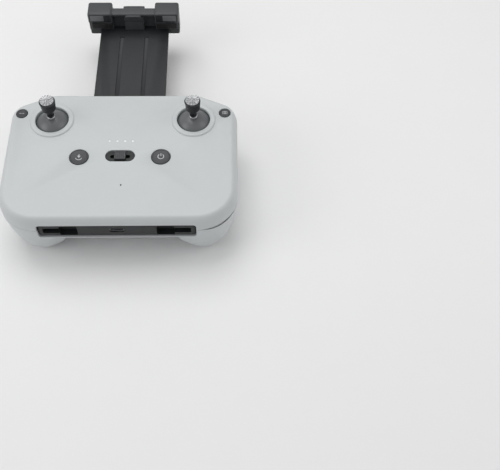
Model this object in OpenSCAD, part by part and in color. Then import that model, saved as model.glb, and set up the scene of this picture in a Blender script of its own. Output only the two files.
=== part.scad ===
// Hand-held radio transmitter with two sticks, a spring clamp for a phone and a cell in each grip.
// Millimetres. +Z is out of the face, +Y is towards the phone clamp, and the part lies on its grips.

/* [Body] */
// Width of the body across its flanks
body_w = 150; // [146:1:180]
// Length of the body from its bottom edge to its top edge
body_l = 104.2; // [104:0.1:126]
// Thickness of the slab between the grips
slab_t = 25; // [25:0.5:30]
// Wall thickness of both shells
wall = 2; // [1.6:0.1:2.4]
// Depth of the parting line below the face
seam_d = 11; // [10:0.5:13]
// Radius of the two bottom corners
corner_r = 26; // [20:1:32]

/* [Sticks] */
// Distance from each flank to the stick's box beside it
stick_side = 14.1; // [13.8:0.1:17]
// Distance from the top edge to the sticks' boxes
stick_back = 8.5; // [8.2:0.1:10.5]
// Radius of the round cover that tilts with the stick
dome_r = 13; // [11:0.1:15.6]
// Depth of the tilt axes below the face
pivot_d = 8.8; // [8:0.1:10]
// Largest tilt of a stick, in degrees
stick_tilt = 20; // [10:1:22]
// Height of a stick's tip above the face
stick_h = 20.4; // [18:0.1:26]
// Largest radius of a stick's knob
knob_r = 5.2; // [4:0.1:6.2]

/* [Buttons] */
// Distance between the two round front buttons
button_span = 52.1; // [46:0.1:64]
// Radius of the round front buttons
button_r = 6.05; // [4.5:0.05:7.3]
// Radius of the two small shoulder buttons
small_button_r = 3.7; // [3:0.1:4.4]
// Gap around every button and knob
button_gap = 0.2; // [0.15:0.05:0.3]
// Travel of the mode switch to each side
mode_travel = 4; // [3:0.1:4.2]
// Radius of the dial under the left forefinger
dial_r = 8; // [6.5:0.1:8.4]
// Radius of the shutter button under the right forefinger
shutter_r = 5.5; // [4.5:0.1:6.5]

/* [Phone clamp] */
// Width of the phone that the clamp holds as drawn
phone_w = 75.5; // [60:0.5:86]
// Thickest phone that fits under the lips
phone_t = 9; // [8:0.5:11]
// How far the clamp bar reaches past each side of the plate
bar_side = 8; // [7:0.5:10]
// Thickness of the sliding plate
plate_t = 3; // [2.5:0.1:3.6]

/* [Battery] */
// Diameter of a round cell
cell_d = 18.4; // [16:0.1:22]
// Length of a round cell
cell_l = 65; // [54:1:65]

/* [Hidden] */
$fn = 64;

eps = 0.01;
slip = 0.05;            // radial clearance of every pin in its bore
gap = 0.3;              // clearance between pieces that move past each other
fit = 0.1;              // clearance between pieces that are fastened together

// Body outline: centres and radii of the corner arcs on the right half.
top_y = body_l / 2;
bottom_y = -body_l / 2;
shoulder_r = 12.5;
shoulder_drop = 20.1;   // from the top edge to the shoulder arcs' centres
top_r = 10;
top_in = 28.7;          // from the flank to the top arcs' centres
corners = [[body_w / 2 - corner_r, bottom_y + corner_r, corner_r],
  [body_w / 2 - shoulder_r, top_y - shoulder_drop, shoulder_r],
  [body_w / 2 - top_in, top_y - top_r, top_r]];
// Each pair is a depth below the face and how far the outline is drawn in there.
front_layers = [[0, 4.4], [0.25, 3.5], [0.9, 2.6], [2.4, 1.8], [seam_d, 0]];
front_hollow = [[wall, 2.6], [wall + 0.8, 1.8], [seam_d + 1, 0]];
rear_layers = [[seam_d, 0], [slab_t - 7, 0.4], [slab_t - 3.6, 1.8], [slab_t - 1.2, 4.6], [slab_t, 8.4]];
rear_hollow = [[seam_d - 1, 0], [slab_t - 7, 0.4], [slab_t - wall - 1.2, 1.8], [slab_t - wall, 3.4]];

// Tilting stick.
dome_t = 1.2;
dome_gap = 0.4;
rim_h = 1.2;
rim_w = 2.6;
rim_seat = 0.8;
opening_r = sqrt(pow(dome_r, 2) - pow(pivot_d - rim_seat, 2)) + 0.6;
skirt_angle = acos((pivot_d - rim_seat) / dome_r) + stick_tilt + 1;
pin_r = 1.4;
arm_t = 1.2;
arm_in = dome_r + 0.5;
arm_out = arm_in + arm_t;
frame_t = 1.2;
frame_hx = dome_r + 0.4 + frame_t;
frame_hy = arm_out + gap + frame_t;
frame_cut = 3.5;
yoke_low = 8;           // how far the yoke reaches below the tilt axes
yoke_hx = 8.4;
cheek_t = 1.8;
stick_x = body_w / 2 - stick_side - frame_hx;
stick_y = top_y - stick_back - frame_hy;
frame_floor = pivot_d + sqrt(pow(yoke_hx, 2) + pow(yoke_low, 2)) + gap;
frame_d = frame_floor + frame_t;
hub_r = 3.2;
post_r = 2.8;
spigot_r = 2;
crown_z = dome_r - 0.3; // flat on top of the dome, above the tilt axes
collar_h = 1.2;
collar_r = 2.8;
stud_r = 1.2;

// Grips and cells.
cell_gap = 0.5;
cell_z = -(max(slab_t, frame_d) - 0.9 + cell_gap + cell_d / 2);
body_t = -cell_z + cell_d / 2 + cell_gap + wall;
grip_in = 35;           // from the flank to the grip's inner arcs
grip_r = 14;            // of the small arcs that follow the grip's outer bottom corner
grip_corners = [[body_w / 2 - grip_in + 0.3, bottom_y + 17.2, 10.3],
  for (turn = [-90 : 22.5 : 0]) corners[0]
    + [(corner_r - grip_r) * cos(turn), (corner_r - grip_r) * sin(turn), grip_r - corner_r],
  corners[1], [body_w / 2 - grip_in + 4, top_y - shoulder_drop, 12]];
grip_layers = [[seam_d, 0.3], [slab_t - 1, 1.4], [slab_t + 8, 3.2], [slab_t + 14, 5.6],
  [body_t - 3, 8], [body_t - 0.8, 11], [body_t, 13.5]];
grip_hollow = [[seam_d, 0.3], [slab_t - 1, 1.4], [slab_t + 8, 3.2], [slab_t + 14, 5.6],
  [body_t - wall - 0.6, 7.9], [body_t - wall, 9.4]];
cell_x = body_w / 2 - 25;
cell_y = bottom_y + 7.4 + cell_d / 4;

// Front buttons.
button_y = -3;
small_x = body_w / 2 - 8.2;
small_y = top_y - 18.7;
button_top = 0.5;
button_travel = 0.6;
flange_t = 1;
flange_w = 1.2;
small_flange_w = 0.8;
board_z = -6.5;
board_t = 1.6;
mode_hw = 9.5;
mode_r = 4.5;
mode_y = -2;
mode_sink = 0.9;
knob_hw = 3.7;
knob_hh = 3.1;
lights = [-7.5, -2.5, 2.5, 7.5];
lights_y = 10;
light_r = 0.75;
mic_at = [2, -25];

// Bottom trim and its pockets for the unscrewed sticks.
trim_hw = 49;
trim_top = -6;
trim_low = -18.6;
trim_depth = 7.5;
trim_sink = 1.2;
pocket_in = 24.5;
pocket_mid = 35.6;
pocket_out = 45.8;
port_w = 8.94;
port_h = 3.26;
port_z = -12.2;

// Phone slot, sliding plate and clamp bar.
slot_floor = top_y + 2;
rubber_t = 1.5;
phone_y = slot_floor + rubber_t;
clamp_y = phone_y + phone_w;
lip_out = 3;
lip_y = clamp_y - lip_out;
plate_z = -18.5;
lip_z = plate_z + phone_t;
bar_top = lip_z + 8;
bar_back = clamp_y + 10.5;
bar_low = plate_z - plate_t - 2;
plate_hw = stick_x - frame_hx - 6.7;
bar_hw = plate_hw + bar_side;
block_in = bar_hw - 17.5;
plate_in = 31;          // lower end of the plate as drawn
plate_up = 5.5;         // how far the plate reaches into the bar
rail_out = plate_hw + 2.8;
rail_in = plate_hw - 1.5;
bezel_hw = plate_hw + 6;
notch_y = top_y - 2.5;
drum_x = 14;
drum_r = 3;
drum_w = 7;
drum_y = bottom_y + 11.5;
tape_t = 0.3;
tape_w = drum_w - 1;
tape_z = plate_z + 0.65;

// Fasteners.
screw_r = 1;
boss_r = 2.6;
screw_x = plate_hw + 5.8;
screws = [[screw_x, bottom_y + trim_depth + 3.2],
  [screw_x, button_y - button_r - flange_w - boss_r - 1.5],
  [bezel_hw + 3.8, top_y - 5.5]];
head_r = 2;
head_t = 1.4;
head_sink = 1.2;

// Dial and shutter button on the shoulders.
shoulder_x = body_w / 2 - 21;
shoulder_z = -(slab_t + 4.5);
shoulder_y = top_y - 11;
dial_t = 6;
dial_y = shoulder_y + 2.4 - dial_r;

// The finished part lies on its grips, with its origin under the middle of its box.
module placed() {
  translate([0, -(bar_back + bottom_y) / 2, body_t]) children();
}

module both_sides() {
  children();
  mirror([1, 0, 0]) children();
}

// Thin discs at every corner and depth, to be joined by hull().
module corner_discs(arcs, layers, inset) {
  for (layer = layers, arc = arcs)
    translate([arc[0], arc[1], -layer[0]])
      cylinder(r = max(arc[2] - layer[1] - inset, 0.6), h = eps, $fn = 32);
}

module slab(layers, inset = 0) {
  hull() both_sides() corner_discs(corners, layers, inset);
}

module grip(layers, inset = 0) {
  hull() corner_discs(grip_corners, layers, inset);
}

module pill(half_w, r, h) {
  hull() for (side = [-1, 1]) translate([side * (half_w - r), 0, 0]) cylinder(r = r, h = h);
}

// A pill made without hull(), for openings that have to stay round.
module pill_cut(half_w, r, h) {
  for (side = [-1, 1]) translate([side * (half_w - r), 0, 0]) cylinder(r = r, h = h);
  translate([-(half_w - r), -r, 0]) cube([2 * (half_w - r), 2 * r, h]);
}

module box(x0, x1, y0, y1, z0, z1) {
  translate([x0, y0, z0]) cube([x1 - x0, y1 - y0, z1 - z0]);
}

module at_each_screw() {
  both_sides() for (at = screws) translate([at[0], at[1], 0]) children();
}

// ---------------------------------------------------------------- shells

module trim_space(clear) {
  box(-trim_hw - clear, trim_hw + clear, bottom_y - 5, bottom_y + trim_depth + clear,
    trim_low - clear, trim_top + clear);
}

module bezel_space(clear) {
  box(-bezel_hw - clear, bezel_hw + clear, notch_y - wall - 2 - clear, top_y + 5,
    -slab_t + 1.2 - clear, -wall - 1);
}

// The top edge steps down between the shoulders, where the clamp bar comes to rest.
module top_notch() {
  translate([0, 0, -seam_d - 5]) linear_extrude(seam_d + 10)
    polygon([[-bezel_hw - 6, top_y + 3], [-bezel_hw - 0.5, notch_y],
      [bezel_hw + 0.5, notch_y], [bezel_hw + 6, top_y + 3]]);
}

module front_shell() {
  color([0.77, 0.79, 0.79]) difference() {
    union() {
      difference() {
        slab(front_layers);
        slab(front_hollow, wall);
      }
      both_sides() translate([stick_x, stick_y, -wall])
        cylinder(r1 = opening_r + rim_w + 1.4, r2 = opening_r + rim_w - 0.8, h = wall + rim_h);
      at_each_screw() translate([0, 0, -seam_d]) cylinder(r = boss_r, h = seam_d - wall + 0.5);
    }
    both_sides() translate([stick_x, stick_y, 0]) {
      translate([0, 0, -pivot_d]) sphere(r = dome_r + dome_gap);
      translate([0, 0, -seam_d]) cylinder(r = opening_r, h = seam_d + rim_h + 1);
    }
    both_sides() translate([button_span / 2, button_y, -seam_d])
      cylinder(r = button_r + button_gap, h = seam_d + 1);
    both_sides() translate([small_x, small_y, -seam_d]) {
      cylinder(r = small_button_r + button_gap, h = seam_d + 1);
      cylinder(r = small_button_r + small_flange_w + gap, h = seam_d - wall);
    }
    translate([0, mode_y, -seam_d]) pill_cut(mode_hw, mode_r, seam_d + 1);
    for (x = lights) translate([x, lights_y, -seam_d]) cylinder(r = light_r + slip, h = seam_d + 1);
    translate([mic_at[0], mic_at[1], -seam_d]) cylinder(r = 0.6, h = seam_d + 1);
    at_each_screw() translate([0, 0, -seam_d - 1]) cylinder(r = screw_r + 0.02, h = seam_d - 3);
    trim_space(fit);
    bezel_space(fit);
    top_notch();
  }
}

module rear_shell() {
  color([0.75, 0.77, 0.77]) difference() {
    union() {
      difference() {
        union() {
          slab(rear_layers);
          both_sides() grip(grip_layers);
        }
        slab(rear_hollow, wall);
        both_sides() grip(grip_hollow, wall);
      }
      at_each_screw() translate([0, 0, -slab_t + 0.9])
        cylinder(r = boss_r, h = slab_t - seam_d - 0.9 - fit);
    }
    box(-body_w, body_w, -body_l, body_l, -seam_d, 10);
    at_each_screw() {
      translate([0, 0, -slab_t - 1]) cylinder(r = screw_r + 0.2, h = slab_t);
      translate([0, 0, -body_t]) cylinder(r = head_r + 0.3, h = body_t - slab_t + head_sink + head_t);
    }
    trim_space(fit);
    bezel_space(fit);
    top_notch();
    translate([-shoulder_x, dial_y, shoulder_z - dial_t / 2 - gap])
      cylinder(r = dial_r + 0.5, h = dial_t + 2 * gap);
    translate([shoulder_x, shoulder_y - 14, shoulder_z]) rotate([-90, 0, 0])
      cylinder(r = shutter_r + button_gap, h = 30);
  }
}

// Dark strip along the bottom edge, with a pocket for each unscrewed stick and the port between them.
module bottom_trim() {
  front_y = bottom_y + trim_sink;
  color([0.16, 0.17, 0.18]) difference() {
    box(-trim_hw, trim_hw, front_y, bottom_y + trim_depth, trim_low, trim_top);
    both_sides() {
      box(pocket_in, pocket_mid, front_y - 1, front_y + 5.2, trim_low + 1.7, trim_top - 1.7);
      box(pocket_mid - 1, pocket_out, front_y - 1, front_y + 4.2, port_z - 2.6, port_z + 2.6);
    }
    translate([0, front_y - 1, port_z]) rotate([-90, 0, 0])
      pill_cut(port_w / 2 + 0.3, port_h / 2 + 0.3, trim_depth + 2);
  }
}

// Dark frame at the top edge that the plate slides out of. The phone stands on its floor.
module slot_bezel() {
  color([0.15, 0.16, 0.17]) difference() {
    union() {
      box(-bezel_hw, bezel_hw, notch_y - wall - 2, notch_y + 1.2, -slab_t + 1.2, -wall - 1.2);
      box(-bezel_hw, bezel_hw, notch_y, slot_floor, -slab_t + 1.2, lip_z - 1);
    }
    box(-plate_hw - fit, plate_hw + fit, 0, body_l, plate_z - plate_t - fit, plate_z + fit);
    box(-rail_out - fit, rail_out + fit, 0, notch_y - 0.6, -slab_t, plate_z + 2);
    box(-drum_x - 6, drum_x + 6, 0, notch_y - 0.6, -slab_t, -4);
  }
}

module slot_rubber() {
  color([0.07, 0.07, 0.07]) difference() {
    box(-bezel_hw + 2, bezel_hw - 2, slot_floor, phone_y, plate_z + fit + 0.2, lip_z - 1.4);
    for (x = [-24 : 6 : 24]) box(x - 0.4, x + 0.4, phone_y - 0.5, phone_y + 1, plate_z, lip_z);
  }
}

// ---------------------------------------------------------------- buttons

module round_button(r, rim, top, low) {
  translate([0, 0, -wall - flange_t - button_travel])
    cylinder(r = r + rim, h = flange_t + button_travel - 0.1);
  translate([0, 0, low]) cylinder(r = 1.6, h = -low);
  translate([0, 0, -wall - flange_t]) cylinder(r = r, h = wall + flange_t + top - 0.4);
  translate([0, 0, top - 0.4]) cylinder(r1 = r, r2 = r - 0.4, h = 0.4);
}

module front_button(side) {
  color([0.23, 0.25, 0.26]) translate([side * button_span / 2, button_y, 0])
    round_button(button_r, flange_w, button_top, -4.2);
}

module small_button(side) {
  color([0.23, 0.25, 0.26]) translate([side * small_x, small_y, 0])
    round_button(small_button_r, small_flange_w, button_top - 0.1, -4.2);
}

module mode_plate() {
  color([0.13, 0.14, 0.15]) translate([0, mode_y, 0]) difference() {
    union() {
      translate([0, 0, -wall - fit]) pill_cut(mode_hw - fit, mode_r - fit, wall + fit - mode_sink);
      translate([0, 0, -wall - 1]) pill_cut(mode_hw + 1.4, mode_r + 1.4, 1 - fit);
    }
    translate([0, 0, -wall - 2]) pill_cut(mode_travel + 2.4, 1.3, wall + 4);
  }
}

module mode_knob() {
  color([0.22, 0.23, 0.24]) translate([0, mode_y, 0]) difference() {
    union() {
      box(-knob_hw, knob_hw, -knob_hh, knob_hh, -mode_sink + 0.05, 0.9);
      box(-2, 2, -1, 1, -3.8, 0);
    }
    for (x = [-2.4 : 1.2 : 2.4]) box(x - 0.25, x + 0.25, -knob_hh - 1, knob_hh + 1, 0.5, 2);
  }
}

module battery_lights() {
  color([0.9, 0.93, 0.95]) for (x = lights) translate([x, lights_y, board_z + 1.2])
    cylinder(r = light_r, h = -board_z - 1.2 - 0.05);
}

module shutter_button() {
  color([0.23, 0.25, 0.26]) translate([shoulder_x, shoulder_y, shoulder_z]) rotate([-90, 0, 0]) {
    translate([0, 0, -5.4]) cylinder(r = shutter_r, h = 6.9);
    translate([0, 0, 1.5]) cylinder(r1 = shutter_r, r2 = shutter_r - 0.6, h = 0.6);
    translate([0, 0, -8]) cylinder(r = 1.6, h = 3);
  }
}

module dial_wheel() {
  color([0.14, 0.15, 0.16]) translate([-shoulder_x, dial_y, shoulder_z]) difference() {
    translate([0, 0, -dial_t / 2]) cylinder(r = dial_r - 1.4, h = dial_t);
    translate([0, 0, -dial_t]) cylinder(r = pin_r + slip, h = 2 * dial_t);
  }
}

module dial_tyre() {
  ribs = 28;
  color([0.07, 0.07, 0.08]) translate([-shoulder_x, dial_y, shoulder_z]) difference() {
    translate([0, 0, -dial_t / 2]) cylinder(r = dial_r, h = dial_t);
    translate([0, 0, -dial_t]) cylinder(r = dial_r - 1.4, h = 2 * dial_t);
    for (i = [0 : ribs - 1]) rotate(i * 360 / ribs) translate([dial_r + 0.1, 0, -dial_t])
      cylinder(r = 0.45, h = 2 * dial_t, $fn = 16);
  }
}

module dial_axle() {
  reach = dial_t / 2 + 1.2;
  color([0.7, 0.7, 0.72]) translate([-shoulder_x, dial_y, shoulder_z]) {
    translate([0, 0, -reach]) cylinder(r = pin_r, h = 2 * reach);
    for (side = [-1, 1]) translate([0, 0, side * (reach - 0.4) - 0.4]) cylinder(r = 2, h = 0.8);
  }
}

// ---------------------------------------------------------------- electronics

module main_board() {
  color([0.05, 0.22, 0.14]) difference() {
    union() {
      box(-stick_x, stick_x, bottom_y + trim_depth + 3, stick_y - frame_hy - 4.4, board_z - board_t, board_z);
      box(-rail_in - 0.6, rail_in + 0.6, 0, notch_y - wall - 2.6, board_z - board_t, board_z);
    }
    at_each_screw() translate([0, 0, -slab_t]) cylinder(r = boss_r + 0.6, h = slab_t);
  }
}

module can(x0, x1, y0, y1) {
  low = board_z - board_t - 2.6;
  difference() {
    box(x0, x1, y0, y1, low, board_z - board_t);
    box(x0 + 0.4, x1 - 0.4, y0 + 0.4, y1 - 0.4, low + 0.4, board_z);
  }
}

module board_shields() {
  color([0.72, 0.73, 0.74]) {
    can(-18, 10, 14, 34);
    can(-22, -2, -20, 0);
    can(4, 22, -22, -4);
  }
}

// Snap switches under the front buttons, the mode slider's body and the light emitters.
module board_switches() {
  color([0.2, 0.2, 0.21]) {
    both_sides() translate([button_span / 2, button_y, board_z]) {
      box(-2.6, 2.6, -2.6, 2.6, 0, 0.9);
      cylinder(r = 1.3, h = 1.5);
    }
    box(-7, 7, mode_y - 2.5, mode_y + 2.5, board_z, board_z + 2.5);
    for (x = lights) box(x - 0.8, x + 0.8, lights_y - 0.8, lights_y + 0.8, board_z, board_z + 1);
  }
}

module side_boards() {
  color([0.05, 0.22, 0.14]) both_sides() {
    box(stick_x + frame_hx + 0.5, small_x + 3, small_y - 5, small_y + 4.4, board_z - 1, board_z);
    translate([small_x, small_y, board_z]) cylinder(r = 1.3, h = 1.5);
  }
}

// The shutter button's two-stage switch on its bracket.
module shoulder_switch() {
  color([0.2, 0.2, 0.21]) translate([shoulder_x, shoulder_y - 9.5, shoulder_z]) {
    box(-4, 4, -2.6, 0, -4, 4);
    box(-6, 6, -3.8, -2.6, -5, 5);
  }
}

module usb_socket() {
  color([0.75, 0.75, 0.77]) translate([0, bottom_y + trim_sink + 0.6, port_z]) rotate([-90, 0, 0]) {
    difference() {
      pill_cut(port_w / 2, port_h / 2, 8.4);
      translate([0, 0, -1]) pill_cut(port_w / 2 - 0.3, port_h / 2 - 0.3, 8.4);
    }
    box(-3.3, 3.3, -0.35, 0.35, 1, 7.5);
  }
}

// Small board that carries the socket, on the trim's back wall.
module port_board() {
  color([0.05, 0.22, 0.14])
    box(-9, 9, bottom_y + trim_depth + 0.4, bottom_y + trim_depth + 8,
      port_z - port_h / 2 - 1, port_z - port_h / 2);
}

module buzzer() {
  color([0.1, 0.1, 0.11]) translate([mic_at[0] - 6, mic_at[1] - 8, board_z - board_t - 3])
    cylinder(r = 5, h = 3);
}

module cell(side) {
  color([0.24, 0.42, 0.62]) translate([side * cell_x, cell_y, cell_z]) rotate([-90, 0, 0]) {
    cylinder(r = cell_d / 2, h = cell_l);
    translate([0, 0, cell_l]) cylinder(r = 3, h = 0.8);
  }
}

module cell_contacts() {
  color([0.8, 0.8, 0.78]) both_sides() {
    box(cell_x - 4, cell_x + 4, cell_y - 0.6, cell_y - 0.1, cell_z - 4, cell_z + 4);
    box(cell_x - 3, cell_x + 3, cell_y + cell_l + 0.9, cell_y + cell_l + 1.3, cell_z - 3, cell_z + 3);
  }
}

// ---------------------------------------------------------------- phone clamp

module guide_rails() {
  color([0.55, 0.56, 0.57]) both_sides() difference() {
    box(rail_in, rail_out, bottom_y + trim_depth + 1, notch_y - 1, plate_z - plate_t - 1, plate_z + 1.4);
    box(rail_in - 1, plate_hw + fit, bottom_y, top_y, plate_z - plate_t - fit, plate_z + fit);
  }
}

module at_drum() {
  translate([drum_x, drum_y, tape_z + tape_t + drum_r]) rotate([0, 90, 0]) children();
}

module spring_drums() {
  color([0.5, 0.5, 0.52]) both_sides() at_drum() {
    translate([0, 0, -drum_w / 2]) cylinder(r = drum_r, h = drum_w);
    translate([0, 0, -drum_w / 2 - 1.4]) cylinder(r = 1, h = drum_w + 2.8);
  }
}

// Two cheeks that hold each drum's axle.
module drum_brackets() {
  color([0.35, 0.36, 0.37]) both_sides() difference() {
    for (end = [-1, 1]) translate([drum_x + end * (drum_w / 2 + 0.8), drum_y, 0])
      box(-0.5, 0.5, -2, 2, tape_z + tape_t + 0.8, board_z - board_t - 0.05);
    at_drum() translate([0, 0, -drum_w]) cylinder(r = 1 + slip, h = 2 * drum_w);
  }
}

// Flat springs that wind onto the drums and draw the plate in.
module spring_tapes() {
  color([0.62, 0.62, 0.64]) both_sides()
    box(drum_x - tape_w / 2, drum_x + tape_w / 2, drum_y, plate_in + 4, tape_z, tape_z + tape_t - 0.02);
}

module slide_plate() {
  color([0.17, 0.18, 0.19]) difference() {
    union() {
      box(-plate_hw, plate_hw, plate_in, clamp_y + plate_up, plate_z - plate_t, plate_z);
      both_sides() box(drum_x - 4, drum_x + 4, plate_in, plate_in + 4, plate_z, tape_z - 0.02);
    }
    for (x = [-9, 9]) box(x - 1.5, x + 1.5, phone_y + 4, clamp_y - 8, plate_z - 0.8, plate_z + 1);
    bar_screw_places() translate([0, 0, plate_z - plate_t - 1]) cylinder(r = 0.8 + slip, h = plate_t + 2);
  }
}

module bar_screw_places() {
  both_sides() for (at = [[block_in + 2.5, clamp_y + 3.2], [bar_hw - 3, bar_back - 2.6]])
    translate([at[0], at[1], 0]) children();
}

// Front half of the bar: a block at each end over an aerial, and a lower middle between them.
module clamp_bar() {
  mid_back = bar_back - 5;
  seat = plate_z + fit;
  color([0.24, 0.25, 0.26]) difference() {
    union() {
      both_sides() {
        box(block_in, bar_hw, clamp_y, bar_back, seat, bar_top);
        box(block_in, bar_hw, lip_y, clamp_y + 1, lip_z, bar_top);
      }
      box(-block_in - 1, block_in + 1, clamp_y + 3, mid_back, seat, bar_top - 1.3);
      box(-block_in - 1, block_in + 1, lip_y + 1.5, clamp_y + 4, bar_top - 3.6, bar_top - 1.3);
      box(-7, 7, clamp_y - 0.6, clamp_y + 4, seat, bar_top - 5);
      box(-8, 8, mid_back - 1, mid_back + 4.4, bar_top - 6, bar_top - 3.4);
    }
    both_sides() box(block_in + 5, bar_hw - 1.4, clamp_y + 1.6, bar_back - 5, plate_z - 1, bar_top - 1.4);
    box(-7.5, 7.5, clamp_y - 2, clamp_y + 0.4, bar_top - 9.4, bar_top - 7.4);
    bar_screw_places() translate([0, 0, plate_z]) cylinder(r = 0.8 + 0.02, h = 6);
  }
}

module clamp_cover() {
  color([0.18, 0.19, 0.2]) difference() {
    box(-bar_hw, bar_hw, clamp_y, bar_back, bar_low, plate_z);
    box(-plate_hw - fit, plate_hw + fit, clamp_y - 1, clamp_y + plate_up + fit,
      plate_z - plate_t - fit, plate_z + 1);
    bar_screw_places() translate([0, 0, bar_low - 1]) {
      cylinder(r = 0.8 + slip, h = 10);
      cylinder(r = 1.7, h = 2.2);
    }
  }
}

// Panels on the front of the two blocks.
module clamp_pads() {
  color([0.36, 0.38, 0.39]) both_sides()
    box(bar_hw - 11.6, bar_hw - 1.8, lip_y - 0.4, lip_y - 0.01, lip_z + 1.7, bar_top - 1.2);
}

// Soft pads under the lips and on the clamp face.
module clamp_lips() {
  lip_mid = (block_in + bar_hw) / 2 - 1;
  color([0.05, 0.05, 0.05]) both_sides() {
    translate([lip_mid, lip_y + 0.6, lip_z - 0.7]) pill_cut(7.4, 1.6, 0.68);
    box(block_in + 1, bar_hw - 2, clamp_y - 0.9, clamp_y - 0.02, plate_z + 1.2, lip_z - 1);
  }
}

module antenna_boards() {
  color([0.1, 0.12, 0.2]) both_sides()
    box(block_in + 5.4, bar_hw - 1.8, clamp_y + 2, bar_back - 5.4, plate_z + 4, plate_z + 4.8);
}

module bar_screws() {
  color([0.6, 0.6, 0.62]) bar_screw_places() {
    translate([0, 0, bar_low + 1.2]) cylinder(r = 0.8, h = -bar_low + plate_z + 3.6);
    translate([0, 0, bar_low + 0.3]) cylinder(r = 1.5, h = 0.9);
  }
}

module body_screws() {
  color([0.3, 0.3, 0.31]) at_each_screw() {
    translate([0, 0, -slab_t + head_sink + head_t])
      cylinder(r = screw_r, h = slab_t - head_sink - head_t - 5);
    difference() {
      translate([0, 0, -slab_t + head_sink]) cylinder(r = head_r, h = head_t);
      translate([0, 0, -slab_t + head_sink - 1]) cylinder(r = 0.9, h = 1.8, $fn = 6);
    }
  }
}

// ---------------------------------------------------------------- sticks

module at_pivot(side) {
  translate([side * stick_x, stick_y, -pivot_d]) children();
}

// Upright box with its four corners cut off.
module cut_box(half_x, half_y, cut, z0, z1) {
  translate([0, 0, z0]) linear_extrude(z1 - z0) polygon([
    [cut - half_x, -half_y], [half_x - cut, -half_y], [half_x, cut - half_y], [half_x, half_y - cut],
    [half_x - cut, half_y], [cut - half_x, half_y], [-half_x, half_y - cut], [-half_x, cut - half_y]]);
}

// Fixed box of one stick, with a bore at each end for the yoke's pins.
module stick_frame(side) {
  high = pivot_d - wall - 0.1;
  low = -(frame_floor - pivot_d);
  color([0.3, 0.31, 0.32]) at_pivot(side) difference() {
    cut_box(frame_hx, frame_hy, frame_cut, low - frame_t, high);
    cut_box(frame_hx - frame_t, frame_hy - frame_t, frame_cut - 0.6 * frame_t, low, high + 1);
    rotate([90, 0, 0]) translate([0, 0, -frame_hy - 1]) cylinder(r = pin_r + slip, h = 2 * frame_hy + 2);
  }
}

// Cradle that swings from side to side on two pins and carries the stick's own axle.
module yoke(side) {
  color([0.85, 0.85, 0.83]) at_pivot(side) difference() {
    union() {
      for (end = [-1, 1]) {
        box(-3, 3, end > 0 ? arm_in : -arm_out, end > 0 ? arm_out : -arm_in, -yoke_low, 2.5);
        rotate([end * -90, 0, 0]) translate([0, 0, arm_out - 0.2])
          cylinder(r = pin_r, h = frame_hy - arm_out);
        translate([end * (yoke_hx - cheek_t / 2), 0, 0])
          box(-cheek_t / 2, cheek_t / 2, -3, 3, -yoke_low, 2.5);
      }
      box(-yoke_hx, yoke_hx, -arm_out, arm_out, -yoke_low, -yoke_low + 1.4);
    }
    rotate([0, 90, 0]) translate([0, 0, -yoke_hx - 1]) cylinder(r = pin_r + slip, h = 2 * yoke_hx + 2);
  }
}

// Hub on the yoke's cheeks, with a threaded post for the stick.
module stick_base(side) {
  post_top = sqrt(pow(dome_r - dome_t, 2) - pow(post_r, 2)) - 0.05;
  color([0.3, 0.31, 0.32]) at_pivot(side) difference() {
    union() {
      rotate([0, 90, 0]) translate([0, 0, -(yoke_hx - cheek_t - gap)])
        cylinder(r = hub_r, h = 2 * (yoke_hx - cheek_t - gap));
      rotate([0, 90, 0]) translate([0, 0, -yoke_hx]) cylinder(r = pin_r, h = 2 * yoke_hx);
      cylinder(r = post_r, h = post_top);
      cylinder(r = spigot_r, h = crown_z + 0.8);
    }
    translate([0, 0, 6]) cylinder(r = stud_r + 0.02, h = dome_r);
  }
}

module dome(side) {
  reach = dome_r * 2;
  cut_r = reach * tan(skirt_angle);
  color([0.22, 0.23, 0.24]) at_pivot(side) intersection() {
    difference() {
      sphere(r = dome_r, $fn = 96);
      sphere(r = dome_r - dome_t, $fn = 96);
      cylinder(r = spigot_r + slip, h = reach);
      translate([0, 0, crown_z]) cylinder(r = dome_r, h = dome_r);
    }
    translate([0, 0, dome_r * cos(skirt_angle)]) cylinder(r = dome_r + 1, h = reach);
  }
}

module collar(side) {
  color([0.75, 0.76, 0.77]) at_pivot(side) translate([0, 0, crown_z]) difference() {
    cylinder(r = collar_r, h = collar_h);
    translate([0, 0, -1]) cylinder(r = spigot_r + slip, h = collar_h + 2);
  }
}

// Removable stick: a stud, a slim stem and a fluted knob that widens upwards.
module stick(side) {
  shoulder = crown_z + collar_h + 0.02;
  tip = stick_h + pivot_d;
  flutes = 20;
  color([0.15, 0.16, 0.17]) at_pivot(side) difference() {
    union() {
      translate([0, 0, 7]) cylinder(r = stud_r, h = shoulder - 6.9);
      translate([0, 0, shoulder]) cylinder(r = 2.4, h = 1);
      translate([0, 0, shoulder]) cylinder(r = 1.9, h = tip - 8.6 - shoulder);
      translate([0, 0, tip - 9.8]) cylinder(r1 = 1.9, r2 = 3.8, h = 1.8);
      translate([0, 0, tip - 8]) cylinder(r1 = 3.8, r2 = knob_r, h = 5);
      translate([0, 0, tip - 3]) cylinder(r = knob_r, h = 1.4);
    }
    for (i = [0 : flutes - 1]) rotate(i * 360 / flutes) translate([knob_r + 0.15, 0, tip - 9])
      cylinder(r = 0.4, h = 9, $fn = 16);
  }
}

// Metal disc with raised points on top of the knob.
module stick_tip(side) {
  points = 10;
  color([0.72, 0.73, 0.74]) at_pivot(side) translate([0, 0, stick_h + pivot_d - 1.58]) {
    cylinder(r = knob_r - 0.7, h = 0.5);
    for (i = [0 : points - 1]) rotate(i * 360 / points) translate([knob_r - 1.7, 0, 0.4])
      cylinder(r1 = 0.55, r2 = 0.15, h = 1.1, $fn = 16);
    translate([0, 0, 0.4]) cylinder(r1 = 1.2, r2 = 0.4, h = 1.18);
  }
}

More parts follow.
